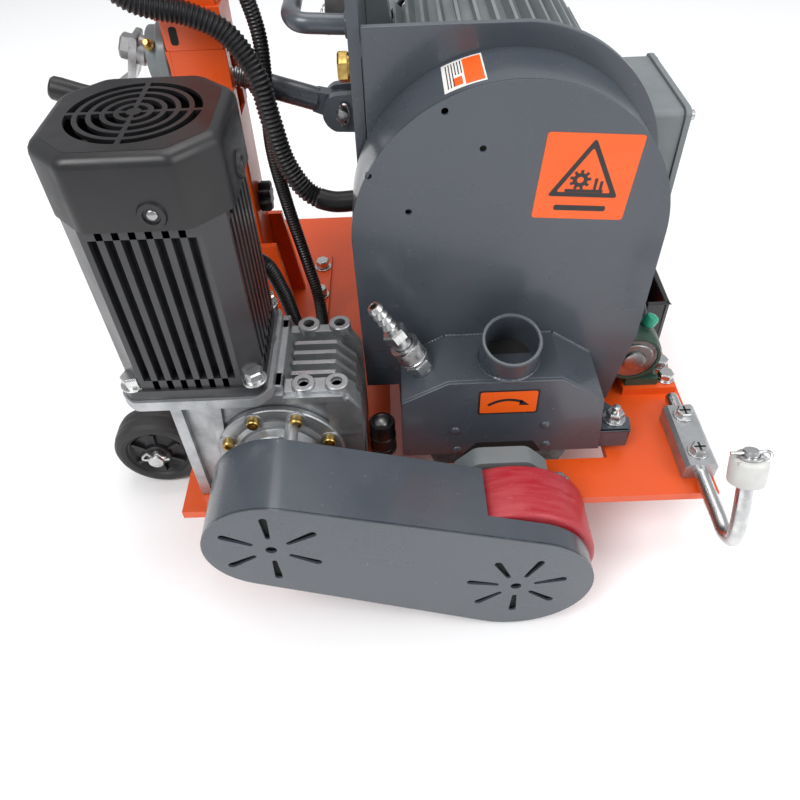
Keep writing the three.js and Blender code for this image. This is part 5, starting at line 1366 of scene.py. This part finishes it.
def screw_thread(start, end, core, crest, pitch):
    """A trapezoid thread: the radius follows a clipped wave of the height over the pitch less the share
    of a turn."""
    sides = 24
    d = np.arange(start, end, pitch / 6)
    t = np.linspace(0, 2 * np.pi, sides, endpoint=False)
    wave = np.clip(1.8 * np.sin(2 * np.pi * d[:, None] / pitch - t[None]), -1, 1)
    r = (core + crest) / 2 + (crest - core) / 2 * wave
    axis, across, over = frame_along(STRUT)
    ring = np.cos(t)[:, None] * across + np.sin(t)[:, None] * over
    corners = BEAR + d[:, None, None] * axis + r[:, :, None] * ring[None]
    caps = [np.repeat((BEAR + axis * v)[None, None], sides, 1) for v in (d[0], d[-1])]
    corners = np.concatenate([caps[0], corners, caps[1]])
    return corners.reshape(-1, 3), grid_faces(len(corners), sides, False, True)


arm_outline = [along_strut(a, b) for a,
               b in ((-22, -12), (-22, 20), (-36, 36), (-36, 59), (-32, 59), (-30, 38), (-16, 22),
                     (-16, -12))]
piece("jack_crank_forging", [
    rod(along_strut(-28), along_strut(7), 8, 32, 0.8),
    turned([(-22.6, 0), (-22.6, 10), (-21.6, 11), (-10, 11), (-9, 10), (-9, 0)], BEAR, STRUT, 36),
    hexagon(along_strut(-21.4), -STRUT, 17, 8.6),
    prism(rounded([(p[0], p[2]) for p in arm_outline], 2.5), STRUT_Y - 11, STRUT_Y + 11),
    rod(along_strut(-28, 50), along_strut(-78, 50), 5, 20),
    screw_thread(7, 118, 6.6, 8.0, 4.0),
], STEEL, "crank", "jack_crank", edge=0.5)
grip_rows = [(-37, 5.4), (-37, 8.2), (-38.5, 9.3), (-44, 9.5), (-60, 9.0), (-76, 9.5), (-82, 9.2), (-84, 7.5),
             (-84, 0), (-80, 0), (-80, 5.4)]
piece("jack_crank_handle", [turned(grip_rows[:8] + [(-84, 5.4)], along_strut(0, 50), STRUT, 40),
                            turned([(-84, 0), (-84, 6), (-81, 6), (-81, 0)], along_strut(0, 50), STRUT, 32)],
      PLASTIC, "crank_grip", "jack_crank_grip")
tongue = [along_strut(strut_length + b, side)[[0, 2]] for b,
          side in ((-23.4, -8.4), (-23.4, 8.4), (-3, 10), (-3, -10))]
piece("jack_outer_tube", [
    turned([(72, 8.4), (72, 9.0), (72.6, 9.5), (strut_length - 21.6, 9.5), (strut_length - 21, 9),
            (strut_length - 21, 8.4)], BEAR, STRUT, 40),
    turned([(strut_length - 23.4, 0), (strut_length - 23.4, 9.3), (strut_length - 21, 9.3),
            (strut_length - 21, 0)],
           BEAR, STRUT, 40),
    turned([(78, 9), (78, 9.5), (88, 9.5), (88, 9)], BEAR, STRUT, 40),
    prism(tongue, STRUT_Y - 6.5, STRUT_Y + 6.5),
    turned_y(collar(STRUT_Y - 6.5, STRUT_Y + 6.5, 6.6, 12, 0.6), PIN_X, PIN_Z, 40),
], GREY, "jack_tube", "jack_tube", edge=0.3)


def lobed_knob():
    """A knob with eight finger lobes: the radius swings between valley and lobe, and its rim is rounded."""
    count = 112
    t = np.linspace(0, 2 * np.pi, count, endpoint=False)
    lobe = 11.4 + 2.6 * np.cos(8 * t)
    rows = []
    for x, share in ((-142.7, 0.0), (-142.7, 0.9), (-141.5, 1.0), (-134, 1.0), (-132.6, 0.93), (-132, 0.8),
                     (-132, 0.0)):
        rows.append(np.stack([np.full(count, x), STRUT_Y + share * lobe * np.cos(t),
                              206 + share * lobe * np.sin(t)],
                             -1))
    return np.concatenate(rows), grid_faces(len(rows), count, False, True)


piece("mast_clamp_knob", [lobed_knob()], PLASTIC, "knob", "mast_knob")

stem, _ = smooth_path([(-165, 175, 698), (-166, 175, 706), (-170, 175, 724), (-186, 175, 752),
                       (-240, 175, 790)], 50)
bar_path, _ = smooth_path([(-438, -20, 837.4), (-330, -20, 808), (-262, -14, 792), (-240, 6, 788),
                           (-238, 60, 788),
                           (-238, 290, 788),
                           (-240, 344, 788), (-262, 364, 792), (-330, 370, 808), (-438, 370, 837.4)], 220)
piece("handlebar_tube", [
    prism(rounded(rectangle(-184.5, -146.5, 153.5, 196.5), 2), 640, 704, "xy"),
    swept(stem, np.linspace(15, 12, 50), 32), swept(bar_path, 12, 32),
    weld_bead([(-226.5 + 3 * math.cos(a), 175 + 12.6 * math.cos(a),
                783 + 12.6 * math.sin(a)) for a in np.linspace(0, 2 * math.pi, 17)], 1.3, 20, 10),
], ORANGE, "chassis", "handlebar", edge=0.4)
GRIP_AXIS = np.array([-110, 0, 30]) / math.hypot(110, 30)
for label, y in (("near", -20), ("far", 370)):
    rows = [(-112, 12.6), (-112, 15.4), (-110, 16), (-107, 15.6)]
    for k in range(16):
        d = -104 + 6 * k
        rows += [(d, 15.4), (d + 1.2, 14.7), (d + 3.4, 14.7), (d + 4.6, 15.4)]
    rows += [(-6, 15.6), (-3, 16), (-1, 15.4), (0, 13), (0, 0), (-3.8, 0), (-3.8, 12.6)]
    piece(f"hand_grip_{label}_ribbed", [turned(rows[:-3] + [(0, 12.6)], (-446, y, 839.6), GRIP_AXIS, 56),
                                         turned([(-4, 0), (-4, 12.9), (-0.4, 12.9), (0, 12), (0, 0)],
                                                (-446, y, 839.6), GRIP_AXIS, 48)],
          GRIP, "chassis", f"hand_grip_{label}")

# ------------------------------------------------------------------ control box
box_back = rounded(rectangle(115, 235, 560, 690), 6)
BACKWARD, START_AT, STOP_AT = (-1, 0, 0), (-270, 150, 660), (-270, 175, 605)
box_core = [prism(box_back, -262, -188.3, "yz"),
            prism(box_back, -270.4, -263, "yz",
                  holes=[circle(*at[1:], 8.4, 32) for at in (START_AT, STOP_AT)])]
piece("control_box_case", box_core, BOX_GREY, "chassis", "control_box", edge=1.6, segments=3)
piece("control_box_gasket", [prism(rounded(rectangle(116, 234, 561, 689), 6), -263.4, -261.8, "yz")], PLASTIC,
      "chassis")
piece("control_box_screws", [dome_screw((-270.2, y, z), (-1, 0, 0), 4,
                                        1.8) for y in (123, 227) for z in (568, 682)],
      ZINC, "chassis")
piece("button_collars", [turned([(0, 8.4), (0, 15), (0.6, 15.6), (1.1, 14), (1.1, 8.4)], START_AT, BACKWARD,
                                48)],
      ZINC, "chassis")
piece("stop_button_surround", [turned([(0, 8.4), (0, 27), (0.4, 27.6), (0.9, 27), (0.9, 8.4)], STOP_AT,
                                      BACKWARD,
                                      64)], LABEL_WHITE, "chassis")
piece("start_button_cap", [turned([(-2, 0), (-2, 8), (4.8, 8), (4.8, 10), (6, 11), (13, 11), (13.8, 10.2),
                                   (14, 9),
                                   (14, 0)], START_AT, BACKWARD, 48)],
      GREEN_CAP, "start", "start_button")
mushroom = [(-2, 0), (-2, 8), (5.8, 8), (6, 14), (7, 18), (8.5, 19), (10, 18.6), (12, 15.5), (13.4, 10.5),
            (14, 5),
            (14, 0)]
piece("stop_button_mushroom", [turned(mushroom, STOP_AT, BACKWARD, 56)], RED_CAP, "stop", "emergency_stop")
piece("cable_glands", [
    hexagon((-240, 140, 560.4), (0, 0, -1), 24, 5),
    turned([(0, 0), (0, 10.6), (6, 9.6), (6, 0)], (-240, 140, 556), (0, 0, -1), 32),
    hexagon((-215, 158, 560.4), (0, 0, -1), 17, 4),
    turned([(0, 0), (0, 7.6), (5, 6.8), (5, 0)], (-215, 158, 557), (0, 0, -1), 28),
], PLASTIC, "chassis", edge=0.3)

# ------------------------------------------------------------------ conduits
main_route = [(-240, 140, 559), (-243, 139, 520), (-243, 137, 470), (-230, 135, 420), (-200, 134, 386),
              (-160, 134, 374), (-138, 134, 362),
              (-124, 130, 344), (-117, 126, 328), (-112, 122, 299), (-105, 118, 267), (-90, 114, 243),
              (-72, 110, 236), (-46.5, 110, 236)]
drive_route = [(-215, 158, 558.5), (-215, 152, 520), (-200, 138, 480), (-150, 139, 440), (-128, 147, 402),
               (-117, 155, 356), (-118, 156, 310),
               (-122, 160, 260), (-118, 168, 200), (-108, 166, 140), (-100, 155, 104), (-96, 128, 92),
               (-98, 96, 96),
               (-106, 66, 130),
               (-114, 54, 190), (-122, 46, 222), (-134, 36, 236), (-134, 23.2, 236)]


def corrugated(route, radius, depth, pitch, plain):
    """A conduit with round ribs: the radius follows a cosine of the length, smooth over its last plain
    stretch."""
    _, length = smooth_path(route, 40)
    steps = int(length / pitch * 5)
    path, _ = smooth_path(route, steps)
    s = np.linspace(0, length, steps)
    rib = 0.5 + 0.5 * np.cos(2 * np.pi * s / pitch)
    fade = np.clip((length - plain - s) / 4, 0, 1)
    return swept(path, radius - depth * (1 - rib) * fade, 20)


main_flex = piece("main_motor_flex_conduit", [corrugated(main_route, 8.5, 1.3, 3.4, 34)], PLASTIC, None,
                  "main_motor_conduit")
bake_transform(main_flex)
piece("drive_motor_flex_conduit", [corrugated(drive_route, 6, 0.9, 2.8, 30)], PLASTIC, "chassis",
      "drive_motor_conduit")


# ------------------------------------------------------------------ studio
def studio():
    """Pale floor and soft area lights over the object; the sky is a plain pale grey."""
    floor_mesh = bpy.data.meshes.new("studio_floor")
    floor_mesh.from_pydata([(-6, -6, 0), (6, -6, 0), (6, 6, 0), (-6, 6, 0)], [], [(0, 1, 2, 3)])
    floor = bpy.data.objects.new("studio_floor", floor_mesh)
    bpy.context.scene.collection.objects.link(floor)
    paper = bpy.data.materials.new("studio_paper")
    paper.use_nodes = True
    shader = paper.node_tree.nodes["Principled BSDF"]
    shader.inputs["Base Color"].default_value = (0.95, 0.95, 0.95, 1)
    shader.inputs["Roughness"].default_value = 0.9
    floor_mesh.materials.append(paper)
    world = bpy.data.worlds.new("studio_sky")
    bpy.context.scene.world = world
    world.use_nodes = True
    sky = world.node_tree.nodes["Background"]
    sky.inputs["Color"].default_value = (0.95, 0.97, 1, 1)
    sky.inputs["Strength"].default_value = 0.55
    aim = (0.1, 0.0, 0.15)
    for name, spot, size, power in (
        ("key_light", (-0.9, -1.2, 1.9), 1.1, 29), ("fill_light", (1.5, -0.9, 1.3), 1.4, 17),
        ("top_light", (0.1, 0.5, 2.2), 1.6, 21),
    ):
        light = bpy.data.lights.new(name, "AREA")
        light.shape = "DISK"
        light.size = size
        light.energy = power
        lamp = bpy.data.objects.new(name, light)
        lamp.location = spot
        lamp.rotation_euler = (Vector(aim) - Vector(spot)).to_track_quat("-Z", "Y").to_euler()
        bpy.context.scene.collection.objects.link(lamp)
    bpy.context.scene.view_settings.view_transform = "Standard"


studio()
